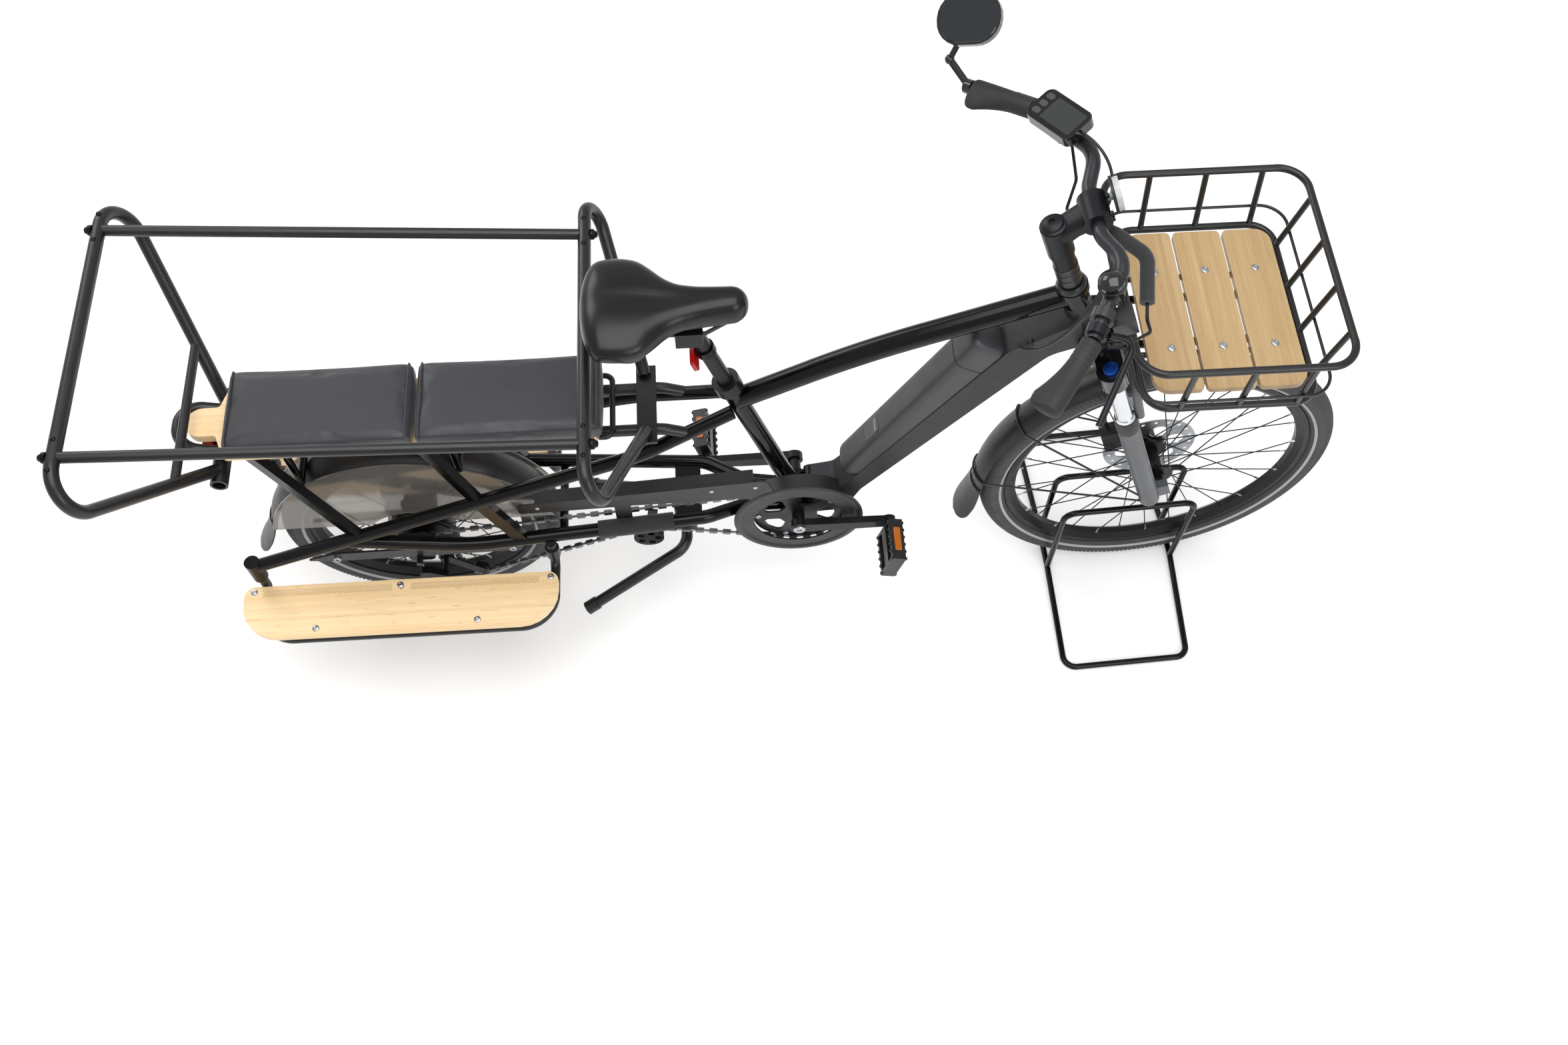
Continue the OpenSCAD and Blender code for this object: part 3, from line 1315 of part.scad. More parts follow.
front_frame();
battery();
diagonals();
chainstays();
rack_rails();
rack_struts();
rack_deck();
rack_hoop();
cushion_rear();
cushion_front();
safety_rear_loop();
safety_front_loop();
safety_rails();
footboard_frames();
footboards();
dress_guards();
rear_fender();
tail_lamp();
chain_guard();
chain();
derailleur();
dropout_guards();
chainstay_sleeve();
seat_post();
saddle();
saddle_base();
basket_frame();
basket_planks();
basket_bracket();
stand_bracket();
rear_caliper();
rear_tyre();
rear_rim();
rear_hub();
rear_disc();
chainring();
crank_arms();
pedal_right();
pedal_left();
kickstand();
fork_crown();
fork_lowers();
stem();
handlebar();
grips();
display();
brake_levers();
bar_mirror();
bell();
shifter();
front_reflector();
cable_sleeve();
front_fender();
fender_stays();
front_caliper();
wheel_stand();
front_tyre();
front_rim();
front_hub();
front_disc();
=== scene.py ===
import bmesh
import bpy
import numpy as np
from mathutils import Matrix, Vector


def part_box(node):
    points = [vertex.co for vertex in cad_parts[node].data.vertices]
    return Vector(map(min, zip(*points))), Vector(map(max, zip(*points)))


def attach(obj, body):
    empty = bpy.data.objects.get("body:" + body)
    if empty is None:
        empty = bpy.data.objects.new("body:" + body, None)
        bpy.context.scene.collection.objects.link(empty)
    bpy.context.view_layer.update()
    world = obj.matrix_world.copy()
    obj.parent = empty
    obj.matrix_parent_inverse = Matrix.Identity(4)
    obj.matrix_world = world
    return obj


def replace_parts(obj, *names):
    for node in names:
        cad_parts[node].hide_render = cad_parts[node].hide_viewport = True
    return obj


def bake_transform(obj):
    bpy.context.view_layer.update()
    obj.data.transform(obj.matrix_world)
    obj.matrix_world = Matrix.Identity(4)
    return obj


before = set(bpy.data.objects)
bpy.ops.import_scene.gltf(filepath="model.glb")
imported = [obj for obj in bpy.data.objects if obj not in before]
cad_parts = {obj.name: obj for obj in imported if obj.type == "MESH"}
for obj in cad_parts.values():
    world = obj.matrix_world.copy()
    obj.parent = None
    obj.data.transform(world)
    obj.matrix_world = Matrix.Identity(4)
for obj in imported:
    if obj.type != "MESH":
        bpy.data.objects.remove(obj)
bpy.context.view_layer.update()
scene = bpy.context.scene
scene.view_settings.view_transform = "Standard"

# Viewpoint and studio
# The bike is seen from its right and from well above, with the bars to the right of the picture.
# A plain white floor and wide soft lamps leave a faint shadow under the wheels.

azimuth, elevation, roll = np.radians([-3.75, 61.82, 0.23])
back = np.array([np.sin(azimuth) * np.cos(elevation), -np.cos(azimuth) * np.cos(elevation),
                 np.sin(elevation)])
level = np.array([np.cos(azimuth), np.sin(azimuth), 0])
rise = np.cross(back, level)
right = np.cos(roll) * level + np.sin(roll) * rise
upward = np.cos(roll) * rise - np.sin(roll) * level

# Sensor width and lens in millimetres, place in metres
view = bpy.data.cameras.new("view")
view.sensor_width = 36
view.lens = 33.74
viewpoint = bpy.data.objects.new("view", view)
turn = np.eye(4)
turn[:3, :3] = np.stack([right, upward, back], axis=1)
turn[:3, 3] = [0.6061, -1.3768, 2.7462]
viewpoint.matrix_world = Matrix(turn.tolist())
scene.collection.objects.link(viewpoint)
scene.camera = viewpoint


def srgb(code):
    """Linear colour with alpha 1 of an sRGB hex code: each channel through the sRGB curve."""
    channel = np.array([int(code[i:i + 2], 16) for i in (1, 3, 5)]) / 255
    linear = np.where(channel <= 0.04045, channel / 12.92, ((channel + 0.055) / 1.055) ** 2.4)
    return (*linear.tolist(), 1)


def add(tree, kind, inputs=(), **settings):
    """New node of a kind with its own settings. Each input, by name or number, takes a value, or a link where
    a socket is given."""
    node = tree.nodes.new(kind)
    for name, value in settings.items():
        setattr(node, name, value)
    for name, value in dict(inputs).items():
        if isinstance(value, bpy.types.NodeSocket):
            tree.links.new(value, node.inputs[name])
        else:
            node.inputs[name].default_value = value
    return node


world = bpy.data.worlds.new("studio")
scene.world = world
world.use_nodes = True
room = world.node_tree.nodes["Background"]
room.inputs["Color"].default_value = (1, 1, 1, 1)
room.inputs["Strength"].default_value = 0.62

floor_mesh = bpy.data.meshes.new("floor")
floor_half = 30
floor_mesh.from_pydata([(-floor_half, -floor_half, 0), (floor_half, -floor_half, 0),
                        (floor_half, floor_half, 0), (-floor_half, floor_half, 0)], [], [(0, 1, 2, 3)])
floor = bpy.data.objects.new("floor", floor_mesh)
scene.collection.objects.link(floor)
# White painted studio floor: matt, with the light it sends to the lens lifted to white
paper = bpy.data.materials.new("white studio floor")
paper.use_nodes = True
tree = paper.node_tree
tree.nodes.clear()
matt = add(tree, "ShaderNodeBsdfDiffuse", {"Color": srgb("#eeeeee")})
ray = add(tree, "ShaderNodeLightPath")
seen = add(tree, "ShaderNodeMath", {0: ray.outputs["Is Camera Ray"], 1: ray.outputs["Is Glossy Ray"]},
           operation="MAXIMUM")
seen = add(tree, "ShaderNodeMath", {0: seen.outputs[0], 1: ray.outputs["Is Transmission Ray"]},
           operation="MAXIMUM")
lift = add(tree, "ShaderNodeMath", {0: seen.outputs[0], 1: 0.22}, operation="MULTIPLY")
glow = add(tree, "ShaderNodeEmission", {"Strength": lift.outputs[0], "Color": srgb("#ffffff")})
both = add(tree, "ShaderNodeAddShader", {0: matt.outputs[0], 1: glow.outputs[0]})
add(tree, "ShaderNodeOutputMaterial", {"Surface": both.outputs[0]})
floor_mesh.materials.append(paper)

# Square lamps that face the middle of the bike: name, place and side in metres, power in watts
bike_middle = Vector((0.6, 0, 0.4))
lamps = (("overhead", (0.6, -0.4, 4.2), 3.4, 110),
         ("front", (2.6, -3.2, 2.6), 2.0, 46),
         ("rear", (-1.8, 2.8, 2.8), 2.0, 40))
for name, place, side, power in lamps:
    lamp = bpy.data.lights.new(name, "AREA")
    lamp.size = side
    lamp.energy = power
    source = bpy.data.objects.new(name, lamp)
    source.location = place
    source.rotation_euler = (bike_middle - Vector(place)).to_track_quat("-Z", "Y").to_euler()
    scene.collection.objects.link(source)

# Frame, rack, safety bar and basket tubes
# Welded alloy and steel tubes, powder coated black: gloss on the frame, satin on the rack, the safety bar and
# the basket. The baked powder has a faint orange peel, a little duller where hands and straps rub it.


def finish(name, **sockets):
    """New material and its node tree, with the shader's sockets set; underscores stand for spaces."""
    material = bpy.data.materials.new(name)
    material.use_nodes = True
    shader = material.node_tree.nodes["Principled BSDF"]
    for socket, value in sockets.items():
        shader.inputs[socket.replace("_", " ")].default_value = value
    return material, material.node_tree, shader


def coated(name, colour, roughness, spread, grain_mm, height_mm, **sockets):
    """Material with one colour, whose roughness swings by spread over patches some 4 cm across and whose bump
    is a noise of grain_mm across and height_mm high."""
    material, tree, shader = finish(name, Base_Color=srgb(colour), **sockets)
    place = add(tree, "ShaderNodeTexCoord")
    patches = add(tree, "ShaderNodeTexNoise", {"Vector": place.outputs["Object"], "Scale": 28, "Detail": 4})
    rub = add(tree, "ShaderNodeMapRange", {"Value": patches.outputs["Fac"], "From Min": 0.3, "From Max": 0.7,
                                           "To Min": roughness - spread, "To Max": roughness + spread})
    grain = add(tree, "ShaderNodeTexNoise", {"Vector": place.outputs["Object"], "Scale": 1000 / grain_mm,
                                             "Detail": 2})
    bump = add(tree, "ShaderNodeBump", {"Height": grain.outputs["Fac"], "Strength": 0.6,
                                        "Distance": height_mm / 1000})
    tree.links.new(rub.outputs["Result"], shader.inputs["Roughness"])
    tree.links.new(bump.outputs["Normal"], shader.inputs["Normal"])
    return material


def dress(material, *nodes):
    """Gives CAD nodes one material."""
    for name in nodes:
        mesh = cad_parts[name].data
        mesh.materials.clear()
        mesh.materials.append(material)


# Baked gloss powder: sharp highlights, broken a little by the orange peel. That is drawn at 3 mm, three times
# its real size, so that it shows at this distance
gloss_look = {"colour": "#060607", "roughness": 0.16, "spread": 0.04, "grain_mm": 3, "height_mm": 0.02,
              "Specular_IOR_Level": 0.26}
powder_coat = coated("gloss black powder coat", **gloss_look)
dress(powder_coat, "diagonals", "chainstays", "rack_struts", "basket_bracket", "stand_bracket")
# The main frame's down tube is satin, with a lighter grey painted into its colour as a reflection of the
# floor:
# all that lies ahead of tube_start and below a line under the top tube, which climbs by line_rise from
# line_height at X = 0, in metres
tube_start = 0.748
line_rise, line_height = 0.442, 0.355
frame_coat = coated("black powder coat, satin down tube", **gloss_look)
tree = frame_coat.node_tree
shader = tree.nodes["Principled BSDF"]
place = add(tree, "ShaderNodeTexCoord")
split = add(tree, "ShaderNodeSeparateXYZ", {"Vector": place.outputs["Object"]})
line = add(tree, "ShaderNodeMath", {0: split.outputs[0], 1: line_rise, 2: line_height},
           operation="MULTIPLY_ADD")
under = add(tree, "ShaderNodeMath", {0: split.outputs[2], 1: line.outputs[0]}, operation="LESS_THAN")
beyond = add(tree, "ShaderNodeMath", {0: split.outputs[0], 1: tube_start}, operation="GREATER_THAN")
satin = add(tree, "ShaderNodeMath", {0: under.outputs[0], 1: beyond.outputs[0]}, operation="MULTIPLY")
# Where this mask is set the colour turns a lighter grey, a painted reflection of the floor; the duller
# roughness is the satin finish
shade = add(tree, "ShaderNodeMix", {"Factor": satin.outputs[0], 6: srgb(gloss_look["colour"]),
                                    7: srgb("#2b2c2e")}, data_type="RGBA")
gloss = shader.inputs["Roughness"].links[0].from_socket
duller = add(tree, "ShaderNodeMath", {0: satin.outputs[0], 1: 0.28, 2: gloss}, operation="MULTIPLY_ADD")
tree.links.new(shade.outputs[2], shader.inputs["Base Color"])
tree.links.new(duller.outputs[0], shader.inputs["Roughness"])
dress(frame_coat, "front_frame")
# Satin powder spreads the highlights into soft streaks along the tubes
satin_coat = coated("satin black powder coat", "#121214", 0.34, 0.06, 3, 0.05)
dress(satin_coat, "rack_rails", "rack_hoop", "safety_rear_loop", "safety_front_loop", "safety_rails",
      "footboard_frames", "basket_frame", "kickstand", "dropout_guards")

# Wooden boards
# Pressed bamboo planks: narrow strips glued side by side and lacquered. Each strip has its own tone, fine
# lengthwise fibres and short darker joints. Pan-head screws hold them to the tubes.

# Bands of slanted lines burnt into a footboard, in millimetres: pitch of the lines, middle of the bands
# across the bike and their width, middle between them along the bike and their reach to either side of it
hatch_pitch = 6
hatch_y = 146
hatch_wide = 14
hatch_x = -28
hatch_span = (17, 256)


def bamboo(name, along, dull, pale, strip_mm=7, hatched=False):
    """Material of strips strip_mm wide that run along an axis (0 for X, 1 for Y): the strip's number picks
    its tone, and a noise stretched sixty times along the grain draws the fibres. A hatched board has two
    bands of slanted lines burnt in along its inner edge, with a lozenge between them."""
    material, tree, shader = finish(name, Roughness=0.4, Coat_Weight=0.2, Coat_Roughness=0.25)
    place = add(tree, "ShaderNodeTexCoord")
    split = add(tree, "ShaderNodeSeparateXYZ", {"Vector": place.outputs["Object"]})
    across = split.outputs[1 - along]
    strip = add(tree, "ShaderNodeMath", {0: across, 1: strip_mm / 1000}, operation="DIVIDE")
    number = add(tree, "ShaderNodeMath", {0: strip.outputs[0]}, operation="FLOOR")
    pick = add(tree, "ShaderNodeTexWhiteNoise", {"W": number.outputs[0]}, noise_dimensions="1D")
    tone = pick.outputs["Value"]
    run = add(tree, "ShaderNodeMath", {0: tone, 1: 0.7, 2: split.outputs[along]}, operation="MULTIPLY_ADD")
    grain = add(tree, "ShaderNodeCombineXYZ", {"X": run.outputs[0], "Y": across, "Z": split.outputs[2]})
    fibre_scale = add(tree, "ShaderNodeMapping", {"Vector": grain.outputs[0], "Scale": (12, 700, 700)})
    fibre = add(tree, "ShaderNodeTexNoise", {"Vector": fibre_scale.outputs[0], "Scale": 1, "Detail": 4})
    joint_scale = add(tree, "ShaderNodeMapping", {"Vector": grain.outputs[0], "Scale": (34, 160, 160)})
    joint = add(tree, "ShaderNodeTexNoise", {"Vector": joint_scale.outputs[0], "Scale": 1, "Detail": 1})
    dark = add(tree, "ShaderNodeMapRange", {"Value": joint.outputs["Fac"], "From Min": 0.66, "From Max": 0.74,
                                            "To Min": 0, "To Max": 0.2}).outputs["Result"]
    if hatched:
        # Each step: its name, what it does, and its inputs as numbers or as names of earlier steps
        steps = (("inward", "ABSOLUTE", "y"),
                 ("slope", "ADD", "x", "inward"),
                 ("turns", "MULTIPLY", "slope", 1000 / hatch_pitch),
                 ("phase", "FRACT", "turns"),
                 ("line", "LESS_THAN", "phase", 0.4),
                 ("aside", "SUBTRACT", "inward", hatch_y / 1000),
                 ("off", "ABSOLUTE", "aside"),
                 ("band", "LESS_THAN", "off", hatch_wide / 2000),
                 ("ahead", "SUBTRACT", "x", hatch_x / 1000),
                 ("far", "ABSOLUTE", "ahead"),
                 ("begun", "GREATER_THAN", "far", hatch_span[0] / 1000),
                 ("open", "LESS_THAN", "far", hatch_span[1] / 1000),
                 ("reach", "MULTIPLY", "begun", "open"),
                 ("around", "ADD", "far", "off"),
                 ("lozenge", "LESS_THAN", "around", hatch_wide / 2000),
                 ("strokes", "MULTIPLY", "line", "band"),
                 ("bands", "MULTIPLY", "strokes", "reach"),
                 ("burnt", "MAXIMUM", "bands", "lozenge"),
                 ("char", "MULTIPLY", "burnt", 0.6),
                 ("dark", "MAXIMUM", "dark", "char"))
        found = {"x": split.outputs[0], "y": split.outputs[1], "dark": dark}
        for step, kind, *parts in steps:
            inputs = {i: found.get(part, part) for i, part in enumerate(parts)}
            found[step] = add(tree, "ShaderNodeMath", inputs, operation=kind).outputs[0]
        dark = found["dark"]
    mixed = add(tree, "ShaderNodeMath", {0: tone, 1: 0.4, 2: fibre.outputs["Fac"]}, operation="MULTIPLY_ADD")
    colour = add(tree, "ShaderNodeValToRGB", {"Fac": mixed.outputs[0]})
    for stop, position, code in zip(colour.color_ramp.elements, (0.25, 0.95), (dull, pale)):
        stop.position = position
        stop.color = srgb(code)
    shade = add(tree, "ShaderNodeMix", {"Factor": dark, 6: colour.outputs["Color"], 7: srgb("#8f6a3e")},
                data_type="RGBA")
    bump = add(tree, "ShaderNodeBump", {"Height": fibre.outputs["Fac"], "Strength": 0.25, "Distance": 0.0003})
    tree.links.new(shade.outputs[2], shader.inputs["Base Color"])
    tree.links.new(bump.outputs["Normal"], shader.inputs["Normal"])
    return material


# The lacquer gives the pale strips a warm, even sheen; the basket's planks are stained browner
dress(bamboo("lacquered bamboo along the bike", 0, "#ecc790", "#fcdfb1"), "rack_deck")
dress(bamboo("lacquered bamboo with burnt bands", 0, "#ecc790", "#fcdfb1", hatched=True), "footboards")
dress(bamboo("lacquered bamboo across the bike", 1, "#a68454", "#b99e74"), "basket_planks")


def square_to(direction):
    """Two unit vectors square to a direction and the direction itself at unit length."""
    ahead = np.asarray(direction, float) / np.linalg.norm(direction)
    side = np.cross(ahead, np.eye(3)[np.argmin(np.abs(ahead))])
    side /= np.linalg.norm(side)
    return side, np.cross(ahead, side), ahead


def full_turn(count):
    """Angles of a full turn in count even steps."""
    return np.linspace(0, 2 * np.pi, count, endpoint=False)


def turned(profile, foot, axis, sides=20):
    """Grid of a turned piece: each profile point (radius, height) goes round the axis that starts at foot."""
    side, other, ahead = square_to(axis)
    angle = full_turn(sides)[:, None]
    ring = np.cos(angle) * side + np.sin(angle) * other
    profile = np.asarray(profile, float)
    return np.asarray(foot, float) + profile[:, 0, None, None] * ring + (profile[:, 1, None] * ahead)[:, None]


def piece(name, grids, material, body, sharp=35, ring=False):
    """New object from grids in millimetres: rows run along a piece and columns go round it. Flat caps close
    the ends, or a ring's last row joins its first. It rides on a body, if one is named, and has a slot."""
    points, faces, start = [], [], 0
    for grid in grids:
        rows, columns = grid.shape[:2]
        index = start + np.arange(rows * columns).reshape(rows, columns)
        after = np.roll(index, -1, axis=1)
        quads = np.stack([index, after, np.roll(after, -1, axis=0), np.roll(index, -1, axis=0)], axis=-1)
        faces += quads[:rows if ring else rows - 1].reshape(-1, 4).tolist()
        if not ring:
            faces += [index[0, ::-1].tolist(), index[-1].tolist()]
        points.append(grid.reshape(-1, 3) / 1000)
        start += rows * columns
    mesh = bpy.data.meshes.new(name)
    mesh.from_pydata(np.concatenate(points).tolist(), [], faces)
    work = bmesh.new()
    work.from_mesh(mesh)
    bmesh.ops.recalc_face_normals(work, faces=work.faces)
    work.to_mesh(mesh)
    work.free()
    mesh.shade_smooth()
    mesh.set_sharp_from_angle(angle=np.radians(sharp))
    mesh.materials.append(material)
    made = bpy.data.objects.new(name, mesh)
    scene.collection.objects.link(made)
    if body:
        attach(made, body)
    return made


# Stainless pan-head screw with a hex socket: radius and height of its turned profile in millimetres
screw = [(6.5, -0.4), (6.5, 0.6), (5.6, 1.8), (3.4, 2.3), (3.2, 2.2), (3.0, 0.9), (0.05, 0.8)]
# Turned stainless steel: small bright heads with a dark socket
stainless = coated("stainless screw steel", "#b9bcc0", 0.3, 0.05, 2, 0.02, Metallic=1)
board_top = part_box("footboards")[1].z * 1000
plank_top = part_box("basket_planks")[1].z * 1000
board_screws = [(x, side * y, board_top) for side in (-1, 1)
                for x, y in ((250, 142), (-30, 142), (-300, 142), (116, 222), (-180, 222))]
plank_screws = [(x, y, plank_top) for x in (1305.5, 1388.5, 1471.5) for y in (-75, 75)]
piece("board_screws", [turned(screw, at, (0, 0, 1)) for at in board_screws + plank_screws],
      stainless, "frame")

# Nuts of the safety bar
# Black capped nuts where each side rail meets a crossbar, a rivet pair beside each, and two socket bolts that
# hold the front bracket to the rails.
cap_nut = [(0.05, -1), (9, -1), (9, 3.5), (8, 5.5), (6.2, 6.5), (5.6, 9), (3.6, 10.8), (0.05, 11.4)]
rivet = [(0.05, -1), (4.2, -1), (4.2, 0.4), (3.2, 1.4), (1.6, 1.9), (0.05, 2)]
socket_bolt = [(0.05, -1), (7, -1), (7, 5), (6.2, 6), (4, 6), (3.8, 2.5), (0.05, 2.5)]
# Middle of a crossbar at the rail, and the way out of it along the rail
rail_joints = [(np.array([-392, 212 * side, 890.0]), np.array([-1, 0, 0.07])) for side in (-1, 1)]
rail_joints += [(np.array([378, 202 * side, 836.0]), np.array([1, 0, -0.07])) for side in (-1, 1)]
bar_radius = 11
bracket_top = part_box("safety_front_loop")[0].z * 1000 + 6
# Black zinc plate: dark metal with a muted shine
black_zinc = coated("black zinc plated steel", "#1a1a1c", 0.3, 0.06, 2, 0.02, Metallic=0.8)
bar_hardware = [turned(cap_nut, at + bar_radius * out, out, 24) for at, out in rail_joints]
bar_hardware += [turned(rivet, at + [0, aside, bar_radius], (0, 0, 1), 16) for at, _ in rail_joints
                 for aside in (-26, 26)]
bar_hardware += [turned(socket_bolt, (460, 62 * side, bracket_top), (0, 0, 1)) for side in (-1, 1)]
piece("bar_hardware", bar_hardware, black_zinc, "frame")

# Passenger cushions
# Two foam pads in black coated cloth, each with a cord of piping sewn round it near both ends. The foam
# swells the cover, so its faces are crowned and give a broad soft shine.


def signed_power(value, power):
    """Power of a value's size, with the value's sign."""
    return np.sign(value) * np.abs(value) ** power


def pillow(low, high, plan, edge, rows=40, columns=96):
    """Grid of a rounded block: a superquadric whose plan and edge powers say how square it is."""
    middle = (low + high) / 2
    half = (high - low) / 2
    across = full_turn(columns)
    upward = np.linspace(-np.pi / 2 + 0.02, np.pi / 2 - 0.02, rows)[:, None]
    ring = np.abs(np.cos(upward)) ** edge
    x = ring * signed_power(np.cos(across), plan)
    y = ring * signed_power(np.sin(across), plan)
    z = signed_power(np.sin(upward), edge) + 0 * across
    return middle + half * np.stack([x, y, z], axis=-1)


def corners(mesh):
    """Points of a mesh as an array of rows of three."""
    flat = np.empty(3 * len(mesh.vertices))
    mesh.vertices.foreach_get("co", flat)
    return flat.reshape(-1, 3)


def swell(pad, voxel, pressure, cap, low):
    """Blows a pad up: an even remesh, 20 frames of cloth under pressure and no gravity, no point moved
    further than cap and none below low, all in metres."""
    remesh = pad.modifiers.new("even", "REMESH")
    remesh.voxel_size = voxel
    even = bpy.data.meshes.new_from_object(pad.evaluated_get(bpy.context.evaluated_depsgraph_get()))
    pad.modifiers.clear()
    even.name = pad.name
    pad.data = even
    start = corners(even)
    cloth = pad.modifiers.new("cover", "CLOTH")
    cloth.settings.use_pressure = True
    cloth.settings.uniform_pressure_force = pressure
    cloth.settings.effector_weights.gravity = 0
    for step in range(1, 21):
        scene.frame_set(step)
    swollen = pad.evaluated_get(bpy.context.evaluated_depsgraph_get()).to_mesh()
    move = corners(swollen) - start
    scene.frame_set(1)
    pad.modifiers.clear()
    far = np.linalg.norm(move, axis=1, keepdims=True)
    settled = start + move * np.minimum(1, cap / np.maximum(far, 1e-9))
    settled[:, 2] = np.maximum(settled[:, 2], low)
    even.vertices.foreach_set("co", settled.ravel())
    even.update()
    even.shade_smooth()
    smooth = pad.modifiers.new("smooth", "SUBSURF")
    smooth.levels = smooth.render_levels = 1


def piping(x, middle, half, radius=1.7, rows=160, columns=10):
    """Grid of a cord sewn round a pad in the plane at x: a small circle carried round an oblong with round
    corners (powers of cosine and sine), pushed out along its normal."""
    turn = full_turn(rows)
    way = np.stack([np.cos(turn), np.sin(turn)], axis=-1)
    path = middle + half * signed_power(way, 0.22)
    normal = signed_power(way, 1.78) / half
    normal /= np.linalg.norm(normal, axis=1, keepdims=True)
    angle = full_turn(columns)
    out = path[:, None] + radius * np.cos(angle)[:, None] * normal[:, None]
    beside = np.broadcast_to(x + radius * np.sin(angle), (rows, columns))
    return np.concatenate([beside[..., None], out], axis=-1)


# Embossed like leather, so its shine is broad and broken. The grain is drawn at 2 mm, twice its real size
coated_cloth = coated("black coated cloth", "#24252b", 0.42, 0.06, 2, 0.12, Sheen_Weight=0.2)
# Distance of the piping from each end of a pad
piping_in = 7
for name in ("cushion_rear", "cushion_front"):
    low, high = [1000 * np.array(corner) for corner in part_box(name)]
    form = pillow(low + [-1, 0, 0.4], high + [1, 0, -1], plan=0.07, edge=0.24)
    pad = piece(name + "_cover", [form], coated_cloth, "frame", 60)
    swell(pad, voxel=0.005, pressure=1, cap=0.002, low=(low[2] + 0.2) / 1000)
    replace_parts(pad, name)
    middle = (low[1:] + high[1:]) / 2
    half = (high[1:] - low[1:]) / 2 - [0.4, 1.2]
    seams = [piping(x, middle, half) for x in (low[0] + piping_in, high[0] - piping_in)]
    piece(name + "_piping", seams, coated_cloth, "frame", ring=True)

# Saddle
# Foam on a moulded shell under one skin of soft black vinyl: broad rounded wings, a waist, a slim nose and a
# shallow dish along the middle. The skin is folded under and glued along the lower edge.
saddle_x = np.array([378, 400, 420, 445, 470, 492, 508, 530, 560, 600, 640])
saddle_half = np.array([84, 90, 94, 95, 89, 70, 53, 39, 32, 28, 26])
saddle_crown = np.array([921, 926, 928, 927, 925, 922, 921, 920.5, 921, 923, 924])
saddle_low = 876
# Distance over which the rear and the nose close to a round end
rear_round, nose_round = 34, 26
# Depth and half width of the dish, and its middle and half length along the bike
dish_deep, dish_half = 4, 16
dish_at, dish_long = 480, 80


def eased(at, places, values):
    """Smooth curve through table values: their straight-line reading, averaged over a window of 18 mm."""
    window = np.linspace(-0.5, 0.5, 9)[:, None] * 18
    return np.interp(at + window, places, values).mean(axis=0)


def saddle_form(columns=80):
    """Grid of the saddle: at each station a flattened oval as wide as the table says, fuller on top, hollowed
    along the middle by a soft groove and flat underneath. Both ends close along a quarter of an oval."""
    rear, nose = saddle_x[0], saddle_x[-1]
    at = (rear + nose) / 2 - (nose - rear) / 2 * np.cos(np.linspace(0.03, np.pi - 0.02, 120))
    behind = np.clip((rear + rear_round - at) / rear_round, 0, 1)
    ahead = np.clip((at - nose + nose_round) / nose_round, 0, 1)
    close = (np.sqrt(1 - behind ** 2.6) * np.sqrt(1 - ahead ** 2))[:, None]
    half = eased(at, saddle_x, saddle_half)[:, None] * close
    crown = eased(at, saddle_x, saddle_crown)[:, None]
    belt = saddle_low + 0.4 * (crown - saddle_low)
    angle = full_turn(columns)
    wide, tall = np.cos(angle), np.sin(angle)
    y = half * signed_power(wide, 0.8)
    top = belt + (crown - belt) * close ** 0.8 * np.abs(tall) ** 0.85
    under = belt - (belt - saddle_low) * close ** 0.8 * np.abs(tall) ** 0.45
    dish = dish_deep * np.exp(-((y / dish_half) ** 2))
    dish = dish * np.exp(-(((at - dish_at) / dish_long) ** 2))[:, None]
    z = np.where(tall >= 0, top - dish * np.maximum(tall, 0), under)
    return np.stack([at[:, None] + 0 * y, y, z], axis=-1)


# Calendered vinyl: smooth and nearly black, with one soft highlight along its back
saddle_vinyl = coated("soft black saddle vinyl", "#0b0b0d", 0.3, 0.05, 1.5, 0.04, Specular_IOR_Level=0.3,
                      Coat_Weight=0.15, Coat_Roughness=0.22)
saddle_skin = piece("saddle_skin", [saddle_form()], saddle_vinyl, "frame", 70)
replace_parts(saddle_skin, "saddle")

# Seat post
# Drawn alloy tube in the frame's collar, black anodised to the satin sheen that the stem, the cranks, the
# rims and the brakes share. A small red reflector is clipped to it under the saddle.
anodised = coated("black anodised aluminium", "#1d1d20", 0.36, 0.06, 4, 0.015, Metallic=0.6)
dress(anodised, "seat_post", "stem", "crank_arms", "chainring", "front_rim", "rear_rim", "front_hub",
      "rear_hub", "brake_levers", "rear_caliper", "front_caliper", "derailleur")


def slab(middle, across, up, size, thick, corner, bevel=0.6, sides=48):
    """Grid of a thin plate that stands thick high on a plane through the middle: a rectangle with round
    corners, its face drawn in by a bevel."""
    across, up = [np.asarray(way, float) / np.linalg.norm(way) for way in (across, up)]
    out = np.cross(across, up)
    angle = full_turn(sides) + np.pi / sides
    flat = np.sign(np.cos(angle)) * (size[0] / 2 - corner), np.sign(np.sin(angle)) * (size[1] / 2 - corner)
    rows = []
    for inset, height in ((0, -0.4), (0, thick - bevel), (bevel, thick)):
        x = flat[0] + (corner - inset) * np.cos(angle)
        y = flat[1] + (corner - inset) * np.sin(angle)
        rows.append(np.asarray(middle, float) + x[:, None] * across + y[:, None] * up + height * out)
    return np.array(rows)


# The post leans back on a line from the cranks' axle, and the reflector's clip goes round it
crank_axle = np.array([720, 0, 296])
post_lean = np.radians(72.5)
post_way = np.array([-np.cos(post_lean), 0, np.sin(post_lean)])
post_back = np.array([-post_way[2], 0, post_way[0]])
clip_at = crank_axle + 508 * post_way
clip = [(14, -8), (17, -7.5), (17, 7.5), (14, 8)]
piece("reflector_clip", [turned(clip, clip_at, post_way, 32)], black_zinc, "frame")
